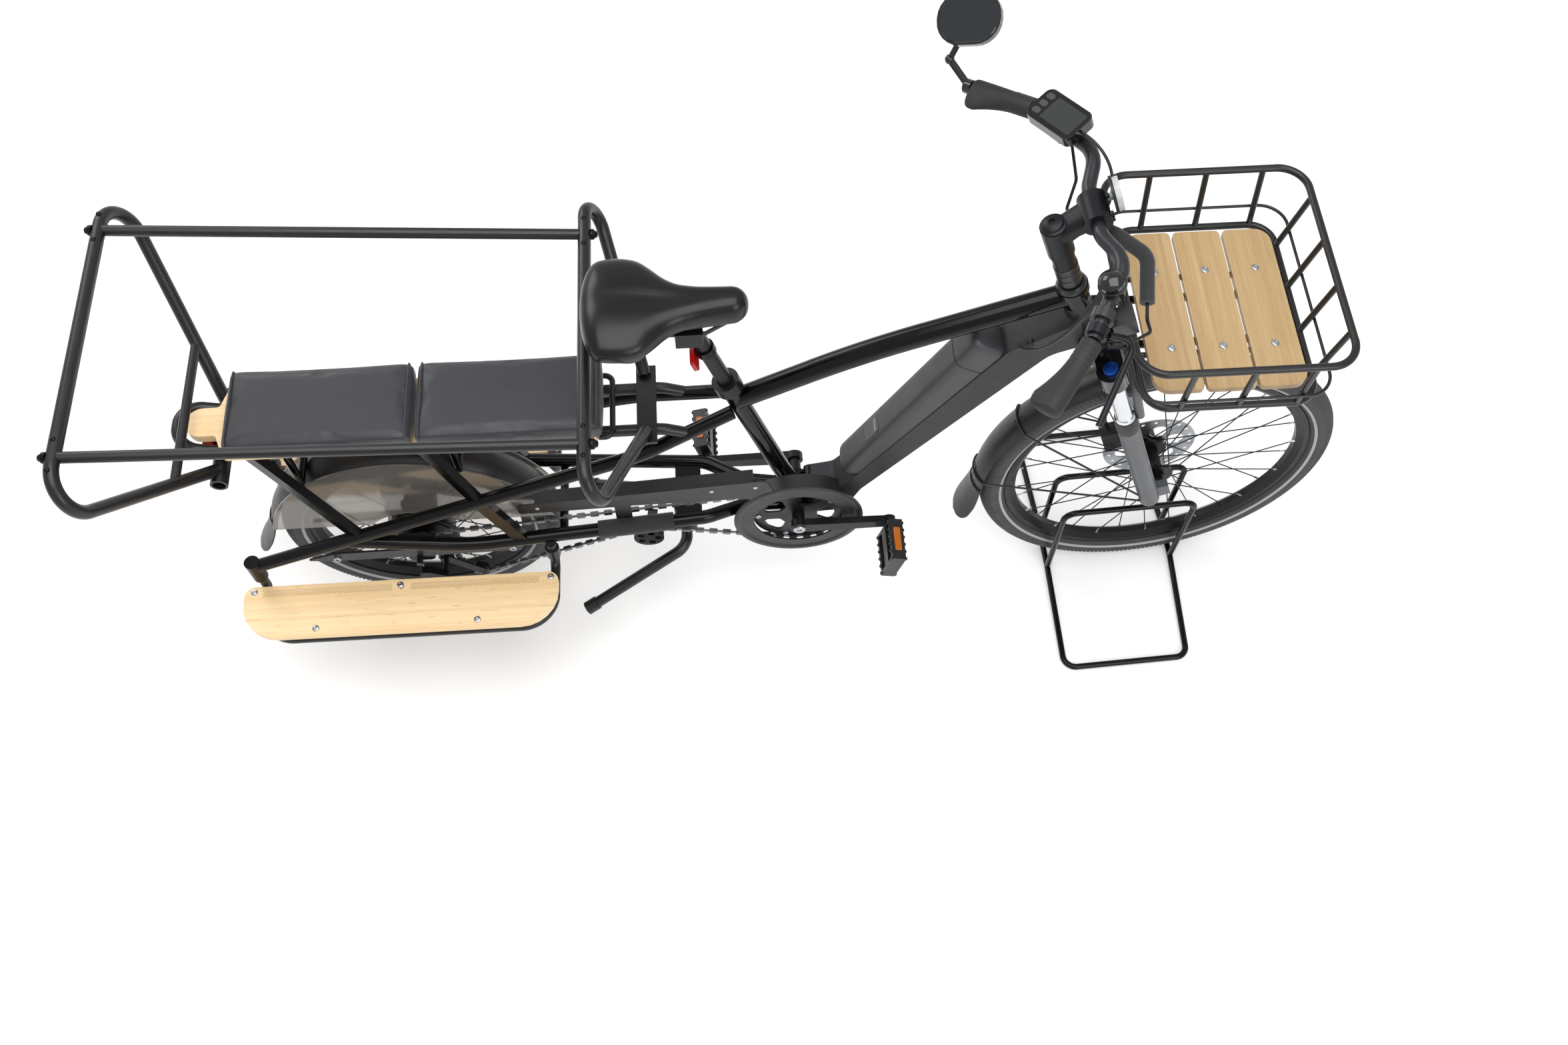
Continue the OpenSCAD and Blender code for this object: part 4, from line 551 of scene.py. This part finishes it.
# Moulded acrylic with prisms inside: a deep red that glints
red_prism = coated("red prism acrylic", "#c0141a", 0.16, 0.04, 4, 0.3, Transmission_Weight=0.25, IOR=1.49)
piece("rear_reflector", [slab(clip_at + 16 * post_back, (0, -1, 0), post_way, (64, 26), 7, 6)], red_prism,
      "frame")

# Tyres
# Black rubber over a cloth casing, matt and a little grey, moulded with a block tread. A pale reflecting band
# runs round both walls, and bright nipples hold the spokes in the rim.

# Lean of the steering axis and turn of the bars at rest
lean, rest = np.radians([20, 2.5])
axle_up = np.array([-np.sin(lean), 0, np.cos(lean)])
axle_left = np.array([-np.sin(rest) * np.cos(lean), np.cos(rest), -np.sin(rest) * np.sin(lean)])
# Centre, forward, left and up of each wheel, with its radius and width
wheels = {"front": (np.array([1400.959, 2.007, 332.985]), np.cross(axle_left, axle_up), axle_left, axle_up,
                    333, 50),
          "rear": (np.array([0, 0, 257]), *np.eye(3), 257, 54)}


def hooped(wheel, radius, offset, count):
    """Grid of a section carried round a wheel: radius from the axle and offset to the left, both arrays whose
    last axis is the section, at count even angles."""
    centre, ahead, left, up = wheels[wheel][:4]
    angle = full_turn(count)[:, None, None]
    radius = np.broadcast_to(radius, (count, np.shape(radius)[-1]))[..., None]
    offset = np.broadcast_to(offset, (count, np.shape(offset)[-1]))[..., None]
    return centre + radius * (np.cos(angle) * ahead + np.sin(angle) * up) + offset * left


# Tread: pitch and height of its blocks, and its half width as an angle on the section
block_pitch = 9.5
tread_high = 1.5
tread_half = 1.32
# Start, end and slope of a block as shares of the pitch
block_start, block_end, block_slope = 0.24, 0.98, 0.1
# Place and half width of the grooves, and half width of the rib between them, as angles on the section
groove_at, groove_half, rib_half = 0.3, 0.045, 0.2
# Depth of the beads under the tread and half the way between them
bead_deep, bead_half = 45.0, 13


def tyre_grid(wheel):
    """Grid of a tyre: an open circle that ends in two beads. Over the shoulders the tread stands proud in
    slanted blocks, with two grooves that run round it."""
    radius, width = wheels[wheel][4:]
    blocks = round(2 * np.pi * radius / block_pitch)
    count = 8 * blocks
    section = np.radians(np.linspace(-142, 142, 41))
    turn = np.linspace(0, 1, count, endpoint=False)[:, None]
    slant = (turn * blocks + 0.9 * np.abs(section) + 0.5 * (section > 0)) % 1
    block = np.clip((slant - block_start) / block_slope, 0, 1)
    block = block * np.clip((block_end - slant) / block_slope, 0, 1)
    groove = np.clip((np.abs(np.abs(section) - groove_at) - groove_half) / 0.03, 0, 1)
    rib = np.abs(section) < rib_half
    tread = np.where(rib, 0.55 + 0.45 * block, block * groove)
    tread = np.where(np.abs(section) < tread_half, tread, 0.45)
    swell_mm = width / 2 - 0.9 + tread_high * tread
    core = radius - width / 2
    around = core + swell_mm * np.cos(section)
    beside = swell_mm * np.sin(section)
    bead = np.full((count, 1), radius - bead_deep)
    around = np.concatenate([around, bead, bead], axis=1)
    beside = np.concatenate([beside, 0 * bead + bead_half, 0 * bead - bead_half], axis=1)
    return hooped(wheel, around, beside, count)


def band_grid(wheel, side, count=180):
    """Grid of the pale band: a strip about 5 mm wide on the wall of the tyre, from just under the casing to
    half a millimetre above it."""
    radius, width = wheels[wheel][4:]
    section = np.radians([110, 114, 118, 122, 122, 118, 114, 110])
    reach = width / 2 - 0.3 + np.repeat([0.6, 0], 4)
    return hooped(wheel, radius - width / 2 + reach * np.cos(section), side * reach * np.sin(section), count)


# The casing's threads show through the rubber as a fine grain, drawn at 1.5 mm
tyre_rubber = coated("moulded tyre rubber", "#3c3c3e", 0.7, 0.08, 1.5, 0.12)
# The band's woven face is pale grey and dull until light is sent straight back
band_cloth = coated("pale reflecting band", "#a3a6a8", 0.5, 0.06, 1.5, 0.05)
# Nickel plate: small warm glints round the rim
nickel = coated("nickel plated brass", "#c3c1ba", 0.3, 0.06, 2, 0.02, Metallic=1)
nipple = [(0.05, -1), (1.9, -1), (1.9, 6), (1.4, 8), (1.4, 13), (0.05, 13)]
spokes = 32
# Depth of a nipple's foot under the tread and its shift to either side in turn
nipple_deep, nipple_aside = 68, 5
for wheel in wheels:
    body = wheel + "_wheel"
    tread = piece(wheel + "_tyre_tread", [tyre_grid(wheel)], tyre_rubber, body, 40, ring=True)
    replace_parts(tread, wheel + "_tyre")
    bands = [band_grid(wheel, side) for side in (-1, 1)]
    piece(wheel + "_tyre_bands", bands, band_cloth, body, ring=True)
    centre, ahead, left, up, radius = wheels[wheel][:5]
    angles = np.arange(spokes) * 2 * np.pi / spokes
    inward = [-(np.cos(a) * ahead + np.sin(a) * up) for a in angles]
    feet = [centre - (radius - nipple_deep) * d + nipple_aside * (-1) ** i * left
            for i, d in enumerate(inward)]
    nipples = [turned(nipple, foot, d, 6) for foot, d in zip(feet, inward)]
    piece(wheel + "_nipples", nipples, nickel, body)

# Battery
# A long moulded ABS case clipped into the down tube, graphite grey, with a fine spark-eroded grain that
# scatters the light. Its long edges are well rounded, and a seam near the top marks the lid over the lock.
graphite_abs = coated("graphite moulded ABS", "#353638", 0.46, 0.05, 1.6, 0.05)
dress(graphite_abs, "saddle_base")
# Lower and upper end, in X and Z, of the case's outer line and of the one let into the down tube
case_outer = np.array([[796, 404], [1004, 800]])
case_inner = np.array([[836, 391], [1064, 761]])
case_half = 32
case_long = 440
end_round = 16
# Ends of the seam as a share of the length
seam_run = (0.856, 0.862)


def case_form(columns=72):
    """Grid of the case: oblongs with round corners along the down tube, between its outer and inner line,
    drawn in along a quarter circle at both ends and by a shallow groove at the seam."""
    even = 0.5 - 0.5 * np.cos(np.linspace(0.04, np.pi - 0.04, 70))
    run = np.sort(np.concatenate([even, np.linspace(0.85, 0.868, 13)]))
    outer = case_outer[0] + run[:, None] * (case_outer[1] - case_outer[0])
    inner = case_inner[0] + run[:, None] * (case_inner[1] - case_inner[0])
    end = np.clip(np.minimum(run, 1 - run) * case_long / end_round, 0, 1)
    seam = (run > seam_run[0]) & (run < seam_run[1])
    scale = (0.7 + 0.3 * np.sqrt(1 - (1 - end) ** 2)) * np.where(seam, 0.965, 1)
    angle = full_turn(columns)
    depth = scale[:, None] * signed_power(np.cos(angle), 0.42)
    y = case_half * scale[:, None] * signed_power(np.sin(angle), 0.42)
    xz = ((outer + inner) / 2)[:, None] + depth[..., None] * ((outer - inner) / 2)[:, None]
    return np.stack([xz[..., 0], y, xz[..., 1]], axis=-1)


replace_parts(piece("battery_case", [case_form()], graphite_abs, "frame", 30), "battery")

# The gauge by the lower end: a small panel let into the case, with five windows over its lamps
case_up = np.array([0.465, 0, 0.885])
case_out = np.array([-0.885, 0, 0.465])
case_foot, case_head = np.insert(case_outer, 1, 0, axis=1)
gauge_at = case_foot + 0.27 * (case_head - case_foot) - 0.2 * case_out
gauge_thick = 0.8
# Polished in the mould, so the panel is darker and glossier than the case
panel_abs = coated("smooth graphite ABS", "#1c1d1f", 0.22, 0.04, 3, 0.02)
panel = slab(gauge_at, (0, -1, 0), case_up, (34, 46), gauge_thick, 6)
piece("battery_gauge", [panel], panel_abs, "frame")
window_row = gauge_at + gauge_thick * case_out + 12 * case_up
windows = [slab(window_row + [0, y, 0], (0, -1, 0), case_up, (2.2, 7), 0.3, 1, 0.2)
           for y in (-10, -5, 0, 5, 10)]
piece("gauge_windows", windows, band_cloth, "frame")

# Brake discs
# Stainless sheet, cut and ground flat, with a bright grey shine.
# The shine is a little uneven where the pads rub.
disc_steel = coated("ground disc steel", "#a9acb0", 0.3, 0.06, 2, 0.03, Metallic=1)
dress(disc_steel, "front_disc", "rear_disc")

# Fenders and their stays
# Moulded plastic arcs with a soft flap that leans out behind each. Two stays of bent wire hook over the front
# one and end on the fork legs, each held by two rivets.

# Radius of the crown, half width, angles of the two ends and length of the flap
fenders = {"front": (349, 31, 92, 162, 96), "rear": (275.5, 33, 0, 168, 100)}
# Radius of the crown's bend across the wheel, and how far the end of a flap leans out
crown_bend = 48
flap_lean = 26
# Thickness of a fender and of a flap, how far a flap widens to each side and laps over the fender's end
fender_thick, flap_thick = 2.5, 3
flap_widen, flap_lap = 6, 10
wire_radius = 2
# Foot of the steering axis, and how far each fork leg lies ahead of the axis and to its side
steer_foot = np.array([1357.774, 0, 317.267])
leg_ahead, leg_aside = 22, 64


def steered(points):
    """World millimetres of points given forward, left and up along the steering axis at its rest turn."""
    points = np.asarray(points, float)
    ahead = points[..., 0] * np.cos(rest) - points[..., 1] * np.sin(rest)
    left = points[..., 0] * np.sin(rest) + points[..., 1] * np.cos(rest)
    return np.stack([steer_foot[0] + ahead * np.cos(lean) - points[..., 2] * np.sin(lean), left,
                     steer_foot[2] + ahead * np.sin(lean) + points[..., 2] * np.cos(lean)], axis=-1)


def spokewise(wheel, turn):
    """Unit vectors out from a wheel's axle at an angle in degrees, and onward along its rim."""
    ahead, up = wheels[wheel][1], wheels[wheel][3]
    angle = np.radians(turn)[..., None]
    return np.cos(angle) * ahead + np.sin(angle) * up, np.cos(angle) * up - np.sin(angle) * ahead


def fender_grid(wheel, rows=90, columns=15):
    """Grid of a fender: a crescent fender_thick deep, an arc of a circle, carried round the wheel."""
    top, half, start, end = fenders[wheel][:4]
    swing = np.linspace(-1, 1, columns) * np.arcsin(half / crown_bend)
    swing = np.concatenate([swing, swing[::-1]])
    bend = np.repeat([crown_bend, crown_bend - fender_thick], columns)
    out = spokewise(wheel, np.linspace(start, end, rows))[0]
    section = (top - crown_bend + bend * np.cos(swing))[:, None]
    return wheels[wheel][0] + section * out[:, None] + (bend * np.sin(swing))[:, None] * wheels[wheel][2]


def flap_grid(wheel, rows=40, columns=15):
    """Grid of a flap: a tongue flap_thick deep from the fender's end, curved like it, that leans out and
    widens before its rounded lower edge."""
    top, half, _, end, length = fenders[wheel]
    run = np.linspace(0, 1, rows)[:, None]
    wide = half + 0.6 + flap_widen * np.minimum(run / 0.5, 1)
    wide = wide * np.sqrt(1.001 - np.clip((run - 0.7) / 0.3, 0, 1) ** 2.6)
    across = wide * np.concatenate([np.linspace(-1, 1, columns), np.linspace(1, -1, columns)])
    sag = (across ** 2 / (2 * crown_bend)) * (1 - 0.5 * run) + np.repeat([0, flap_thick], columns)
    out, onward = spokewise(wheel, np.array([end]))
    height = top + 3.2 + flap_lean * run ** 1.4 - sag
    onto = (length + flap_lap) * run - flap_lap
    centre, left = wheels[wheel][0], wheels[wheel][2]
    return centre + height[..., None] * out + onto[..., None] * onward + across[..., None] * left


# Moulded polypropylene: black with a waxy satin sheen
fender_plastic = coated("satin black polypropylene", "#18181a", 0.4, 0.05, 2, 0.05)
for wheel, body in (("front", "steering"), ("rear", "frame")):
    forms = [fender_grid(wheel), flap_grid(wheel)]
    fender = piece(wheel + "_fender_arc", forms, fender_plastic, body)
    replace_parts(fender, wheel + "_fender")


def hook_grid(turn, rows=31, columns=10):
    """Grid of the part of a stay that lies over the fender: a wire bent to the crown's circle."""
    top, half = fenders["front"][:2]
    swing = np.linspace(-1, 1, rows)[:, None] * np.arcsin(half / crown_bend)
    angle = full_turn(columns)
    out, onward = spokewise("front", np.array(turn))
    bend = crown_bend + 2.2 + wire_radius * np.cos(angle)
    centre, left = wheels["front"][0], wheels["front"][2]
    height = top - crown_bend + bend * np.cos(swing)
    along = wire_radius * np.sin(angle) + 0 * swing
    aside = bend * np.sin(swing)
    return centre + height[..., None] * out + along[..., None] * onward + aside[..., None] * left


stays = []
# Angle of each stay on the fender and the height of its foot on the fork leg
for turn, foot_up in ((126, 30), (155, 6)):
    hook = hook_grid(turn)
    stays.append(hook)
    out, onward = spokewise("front", np.array(turn))
    for side, edge in ((-1, hook[0].mean(axis=0)), (1, hook[-1].mean(axis=0))):
        foot = steered([leg_ahead - 17.4, side * (leg_aside + 13.1), foot_up])
        wire = [(wire_radius, 0), (wire_radius, np.linalg.norm(edge - foot))]
        stays.append(turned(wire, foot, edge - foot, 10))
        crown = wheels["front"][0] + (fenders["front"][0] + 0.2) * out + 7 * side * onward
        stays.append(turned(rivet, crown, out, 16))
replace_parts(piece("fender_wires", stays, fender_plastic, "steering"), "fender_stays")

# Wheel covers and tail lamp
# See-through covers of smoked sheet, hazed by fine scratches, that mirror the boards and the floor. The lamp
# has a moulded red lens with a coarse grain.
smoked = coated("smoked polycarbonate", "#b0aca6", 0.1, 0.03, 6, 0.02, Transmission_Weight=0.76, IOR=1.55,
                Specular_IOR_Level=1)
dress(smoked, "dress_guards")
red_lens = coated("red lens acrylic", "#a80f14", 0.18, 0.04, 5, 0.2, Transmission_Weight=0.3, IOR=1.49)
dress(red_lens, "tail_lamp")

# Chain, cranks and pedals
# A roller chain of steel plates with an oily shine runs behind a guard of satin plastic. The pedals are
# moulded nylon with studs, on forged cranks held by bright bolts.
chain_steel = coated("oiled chain steel", "#77787a", 0.34, 0.08, 3, 0.05, Metallic=1)
dress(chain_steel, "chain")
# Glass-filled nylon from the mould: matt black with a fine grain
pedal_plastic = coated("moulded black nylon", "#151516", 0.4, 0.06, 1.5, 0.06)
dress(pedal_plastic, "pedal_right", "pedal_left")

# Bolts of the chainring and the crank arms: radius and height of each turned profile
ring_bolt = [(0.05, -1), (5.5, -1), (5.5, 1.2), (4.8, 2), (2.8, 2), (2.6, 0.8), (0.05, 0.8)]
crank_bolt = [(0.05, -1), (11.5, -1), (11.5, 2.5), (10, 4), (5, 4), (4.6, 1.5), (0.05, 1.5)]
arms = np.radians(36 + 72 * np.arange(5))
bolt_circle = 76
# Distance of the chainring's, the guard's and the crank arms' outer faces from the middle of the bike
ring_face, guard_face, arm_face = 51, 61, 82
ring_bolts = [turned(ring_bolt, crank_axle + [bolt_circle * np.cos(a), -ring_face, bolt_circle * np.sin(a)],
                     (0, -1, 0), 16) for a in arms]
crank_bolts = [turned(crank_bolt, crank_axle + [0, arm_face * side, 0], (0, side, 0), 24) for side in (-1, 1)]
piece("crank_bolts", ring_bolts + crank_bolts, stainless, "crank")

dress(fender_plastic, "chain_guard")
# Raised rim of the chain guard: radius from the crank's axle and height of its turned profile
ring_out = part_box("chain_guard")[1].x * 1000 - crank_axle[0]
rim = [(ring_out - 15, -0.5), (ring_out - 14, 1), (ring_out - 11, 2.4), (ring_out - 6, 2.4),
       (ring_out - 2, 1), (ring_out - 1, -0.5)]
piece("guard_rim", [turned(rim, crank_axle - [0, guard_face, 0], (0, -1, 0), 96)], fender_plastic, "frame",
      ring=True)
# Rivets of the chain guard and bolts of the guards over the rear axle, as places in X and Z
guard_rivets = [turned(rivet, (x, -guard_face, z), (0, -1, 0), 16)
                for x, z in ((240, 389), (560, 418), (640, 424))]
axle_bolts = [turned(socket_bolt, (x, 80 * side, z), (0, side, 0)) for side in (-1, 1)
              for x, z in ((180, 282), (-150, 276))]
piece("guard_screws", guard_rivets + axle_bolts, stainless, "frame")

# Amber reflectors in the front and rear edges of the pedals, and studs that stand up from both faces
stud = [(0.05, -1), (3.4, -1), (3.4, 1.4), (2.4, 3), (0.05, 3.2)]
# Moulded acrylic with prisms inside: amber that glows where light falls through it
amber = coated("amber prism acrylic", "#c0660c", 0.16, 0.04, 3, 0.3, Transmission_Weight=0.2, IOR=1.49)
# Tilt of the pedals at rest, length of a crank and distance of a pedal's inner end from the bike's middle
tilt = np.radians(76)
crank_long, pedal_in = 170, 82.3
for side, name in ((-1, "pedal_right"), (1, "pedal_left")):
    spindle = crank_axle + side * np.array([-crank_long, pedal_in, 0])
    wide = side * np.array([np.cos(tilt), 0, 0]) - np.array([0, 0, np.sin(tilt)])
    deep = side * np.array([np.sin(tilt), 0, 0]) + np.array([0, 0, np.cos(tilt)])
    outward = np.array([0, side, 0])
    faces = [slab(spindle + 50 * outward + 36 * end * wide, np.cross(deep, end * wide), deep, (48, 13), 2, 3)
             for end in (-1, 1)]
    piece(name + "_reflectors", faces, amber, name)
    studs = [turned(stud, spindle + along * outward + 32 * end * wide + 13 * face * deep, face * deep, 12)
             for along in range(14, 92, 15) for end in (-1, 1) for face in (-1, 1)]
    piece(name + "_studs", studs, pedal_plastic, name)

# Sleeves
# Soft matt neoprene with a knitted face, wrapped round the right chainstay and the bundle of hoses at the
# head, where it swallows nearly all light.
neoprene = coated("black neoprene", "#232325", 0.82, 0.05, 2, 0.2, Sheen_Weight=0.2)
dress(neoprene, "chainstay_sleeve", "cable_sleeve")

# Fork
# Magnesium lowers painted satin grey, chromed stanchions that mirror the room, and a crown in gloss black.
# The bell, the mirror's head and the display's case have the same gloss.
fork_grey = coated("satin grey fork paint", "#55575a", 0.34, 0.06, 3, 0.04)
dress(fork_grey, "fork_lowers")
gloss_black = coated("gloss black paint", "#101012", 0.12, 0.03, 6, 0.02, Coat_Weight=0.4,
                     Coat_Roughness=0.05)
dress(gloss_black, "fork_crown", "bell", "bar_mirror", "display")
chrome = coated("hard chrome", "#d8dadd", 0.08, 0.03, 6, 0.01, Metallic=1)
legs = [steered([leg_ahead, leg_aside * side, 0]) for side in (-1, 1)]
# Radius and height of a stanchion over its dust seal, from the lowers to the crown
stanchion = [(15.1, 300.5), (18.4, 300.5), (18.4, 305), (16.6, 308), (15.4, 309), (15.4, 417.6),
             (15.1, 417.6)]
piece("stanchions", [turned(stanchion, leg, axle_up, 40) for leg in legs], chrome, "steering")

# Black rubber cuffs close the lowers, and a blue knob on the right leg locks the fork
cuff = [(18, 262), (20, 262.5), (20, 297), (19, 300.3), (15.6, 300.4), (15.6, 263)]
piece("fork_cuffs", [turned(cuff, leg, axle_up, 40) for leg in legs], pedal_plastic, "steering",
      ring=True)
# Anodised alloy: a bright metallic blue against the black
blue_alloy = coated("blue anodised aluminium", "#1d4fa8", 0.28, 0.05, 3, 0.02, Metallic=0.85)
knob = [(0.05, 455), (13, 455), (13, 461), (11.5, 464), (4, 464.6), (0.05, 464.6)]
piece("fork_knob", [turned(knob, legs[0], axle_up, 32)], blue_alloy, "steering")

# Handlebar and grips
# Graphite anodised tube in a two-bolt clamp. The grips are moulded rubber with a wing for the palm and a ring
# of ribs at the inner end.
# Brushed before it was anodised: a dull grey with a long streak of light
graphite_bar = coated("graphite anodised aluminium", "#3c3d40", 0.32, 0.06, 4, 0.015, Metallic=0.7)
dress(graphite_bar, "handlebar")
# Inner and outer end of the left grip along the steering axis, the bare bar before it and its wing's reach
grip_ends = np.array([[16, 218, 786.0], [-69, 310, 778.0]])
grip_gap = 4
wing_reach = 20


def grip_grid(side, rows=90, columns=40):
    """Grid of a grip: a circle along the bar whose rear half is drawn out into a wing towards the outer end,
    with four rounded grooves at the inner end."""
    start, end = grip_ends
    along = (end - start) / np.linalg.norm(end - start)
    length = np.linalg.norm(end - start) - grip_gap
    rear = np.cross([0, 0, 1], along)
    rear /= np.linalg.norm(rear)
    high = np.cross(along, rear)
    run = np.linspace(0, 1, rows)[:, None]
    angle = full_turn(columns)
    groove = 1.3 * np.clip(np.cos(2 * np.pi * run * length / 9) - 0.55, 0, 1) * (run < 0.36)
    bar_end = np.sqrt(np.clip(1 - np.maximum((run - 0.93) / 0.075, 0) ** 2, 0.05, 1))
    wing_end = np.sqrt(np.clip(1 - np.maximum((run - 0.86) / 0.145, 0) ** 2, 0.02, 1))
    radius = (15.6 - groove + 0.8 * np.sin(np.pi * run)) * bar_end
    wing = wing_reach * np.clip((run - 0.3) / 0.5, 0, 1) ** 1.6 * wing_end
    back = np.maximum(np.cos(angle), 0)
    local = (start + along * grip_gap + run[..., None] * length * along
             + (radius * np.cos(angle) + wing * back ** 1.5)[..., None] * rear
             + (radius * np.sin(angle) * (1 - 0.25 * wing / wing_reach * back))[..., None] * high)
    return steered(local * [1, side, 1])


# Soft moulded rubber: matt, with hardly a highlight
grip_rubber = coated("soft grip rubber", "#1c1c1d", 0.62, 0.06, 1.4, 0.14)
grip_rubbers = piece("grip_rubbers", [grip_grid(side) for side in (1, -1)], grip_rubber, "steering",
                     50)
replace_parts(grip_rubbers, "grips")

# Stem
# Turned alloy rings close the head tube and the stem; four socket bolts hold the faceplate on the bar.
# The arm between them is forged, and swells a little towards the clamp.
cover = [(18.4, 626.5), (24.6, 626.5), (24.6, 631), (20.8, 637), (18.4, 637)]
spacers = [[(18.1, low), (19.2, low + 0.5), (19.2, low + 11.5), (18.1, low + 12)] for low in (644, 658, 672)]
piece("steering_rings", [turned(ring, steer_foot, axle_up, 48) for ring in [cover] + spacers], graphite_bar,
      "steering", ring=True)
cap = [(0.05, 779), (20, 779), (20, 782), (16.5, 783.5), (16, 787), (12.5, 789.5), (5, 790), (4.6, 787),
       (0.05, 787)]
clamp_out = np.cross(axle_left, axle_up)
small_bolt = [(0.05, -1), (4.2, -1), (4.2, 3.6), (3.6, 4.4), (2.4, 4.4), (2.2, 1.8), (0.05, 1.8)]
stem_fittings = [turned(cap, steer_foot, axle_up, 48)]
stem_fittings += [turned(small_bolt, steered([83.4, aside, height]), clamp_out, 16)
                  for aside in (-17, 17) for height in (776, 788)]
piece("stem_fittings", stem_fittings, anodised, "steering")


def arm_form(rows=24, columns=40):
    """Grid of the stem's arm: ovals from the column forward to the clamp, each a little taller than the one
    behind it."""
    run = np.linspace(0, 1, rows)[:, None]
    angle = full_turn(columns)
    aside = (20 + 3 * run) * signed_power(np.cos(angle), 0.6)
    height = 764 + 17 * run + (13.5 + 4 * run) * signed_power(np.sin(angle), 0.6)
    return steered(np.stack([6 + 50 * run + 0 * aside, aside, height], axis=-1))


piece("stem_arm", [arm_form()], anodised, "steering")

# Display
# A moulded case with a flat reflective screen under a glossy bezel, and a row of soft keys by the thumb. A
# lead goes from its front end to the sleeve.

# Along the bar to the left, back towards the rider, and the middle of the display's top, by the steering axis
bar_way = np.array([-0.523, 0.852, 0.015])
bar_back = np.array([-0.852, -0.523, 0])
display_top = np.array([48.4, 165.2, 821.3])


def heading(way):
    """World direction of one given forward, left and up along the steering axis."""
    return steered(way) - steer_foot


def on_display(along, back):
    """World point on the display's top, along the bar towards the grip and back towards the rider."""
    return steered(display_top + along * bar_way * [1, 1, 0] + back * bar_back)


# The acrylic mirrors the room, the screen is a grey green when it is off, and the keys are dull
bezel = coated("gloss black acrylic", "#0b0b0c", 0.06, 0.02, 8, 0.01)
screen = coated("grey liquid crystal", "#252a26", 0.1, 0.03, 8, 0.01, Coat_Weight=0.6, Coat_Roughness=0.03)
keys = coated("soft grey key rubber", "#3a3a3c", 0.6, 0.05, 1.5, 0.05)
faces = heading(bar_way), heading(bar_back)
bezel_thick = 0.9
bezel_plate = slab(on_display(0, 0), *faces, (92, 54), bezel_thick, 10)
piece("display_bezel", [bezel_plate], bezel, "steering")
glass_plate = slab(on_display(-10, 0) + bezel_thick * axle_up, *faces, (62, 42), 0.5, 3, 0.3)
piece("display_screen", [glass_plate], screen, "steering")
buttons = [slab(on_display(33, toward) + bezel_thick * axle_up, *faces, (15, 11), 1.6, 5)
           for toward in (-15, 0, 15)]
piece("display_keys", buttons, keys, "steering")


def swept(points, radius, rows=60, columns=12):
    """Grid of a round lead along a smooth curve that starts and ends at its first and last point and leans
    towards the ones between (a Bezier curve)."""
    points = np.asarray(points, float)
    t = np.linspace(0, 1, rows)[:, None]
    level_points = np.broadcast_to(points, (rows, *points.shape))
    while level_points.shape[1] > 1:
        level_points = level_points[:, :-1] * (1 - t[:, :, None]) + level_points[:, 1:] * t[:, :, None]
    line = level_points[:, 0]
    way = np.gradient(line, axis=0)
    way /= np.linalg.norm(way, axis=1, keepdims=True)
    side = np.cross(way, square_to(points[-1] - points[0])[0])
    side /= np.linalg.norm(side, axis=1, keepdims=True)
    other = np.cross(way, side)
    angle = full_turn(columns)[None, :, None]
    return line[:, None] + radius * (np.cos(angle) * side[:, None] + np.sin(angle) * other[:, None])


# Extruded sheath: smooth and black, with a thin line of light along it
lead_rubber = coated("black lead sheath", "#161617", 0.4, 0.05, 2, 0.03)
lead = [[73, 125, 812], [92, 100, 812], [112, 66, 790], [104, 52, 750], [66, 12, 740]]
piece("display_lead", [swept(steered(lead), 2.4)], lead_rubber, "steering")

# Hoses between the bars and the frame
# Three sheathed hoses leave the sleeve, hang in a loose loop on the right and go into the down tube beside
# the head. The loop leaves them slack for when the bars turn, and they are built in one fixed shape.
hose_in = np.array([1085, -28, 795])
hose_out = np.array([1186, -12, 1037])
hose_loop = np.array([[1070, -92, 838], [1128, -112, 898], [1190, -76, 985]])
loops = [swept([hose_in + [9 * i, 0, 6 * i], *(hose_loop + [-7 * i, -6 * i, 5 * i]), hose_out], 2.5)
         for i in (-1, 0, 1)]
hoses = piece("frame_hoses", loops, lead_rubber, None)
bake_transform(hoses)

# Mirror
# Silvered glass let into the moulded head, tinted a little dark.
# It faces up and in, towards the rider.
mirror_at = np.array([-45, 360, 874])
mirror_face = np.array([-0.18, -0.44, 0.88])
mirror_face /= np.linalg.norm(mirror_face)
spin = np.arctan2(mirror_face[1], mirror_face[0])
mirror_side = np.array([-np.sin(spin), np.cos(spin), 0])
mirror_glass = coated("silvered mirror glass", "#4c5054", 0.03, 0.01, 20, 0.01, Metallic=1)
glass = slab(steered(mirror_at), heading(np.cross(mirror_side, mirror_face)), heading(mirror_side), (74, 96),
             0.8, 34)
piece("mirror_glass", [glass], mirror_glass, "steering", 30)

# Bell
# Spun steel dome, painted gloss black, over a foot ring.
# The ring shows as a dull line under the shine of the dome.
bell_ring = [(18.6, 0.4), (20.6, 0.6), (21, 3), (20.4, 5), (18.6, 5.2)]
piece("bell_ring", [turned(bell_ring, steered([59.9, -146.4, 797.8]), axle_up, 40)], graphite_bar, "steering",
      ring=True)

# Front reflector and wheel stand
# A moulded prism lens of clear acrylic on a black plate, which throws the light back in small cells.
# The wheel's stand is bent steel rod in the frame's black powder coat.
white_lens = coated("clear prism acrylic", "#dfe3e6", 0.15, 0.04, 4, 0.3, Transmission_Weight=0.4, IOR=1.49)
dress(white_lens, "front_reflector")
backing = slab(steered([92.4, 18, 784]), heading([0, 1, 0]), heading([0, 0, 1]), (46, 60), 4, 20)
piece("reflector_back", [backing], pedal_plastic, "steering")
dress(powder_coat, "wheel_stand")
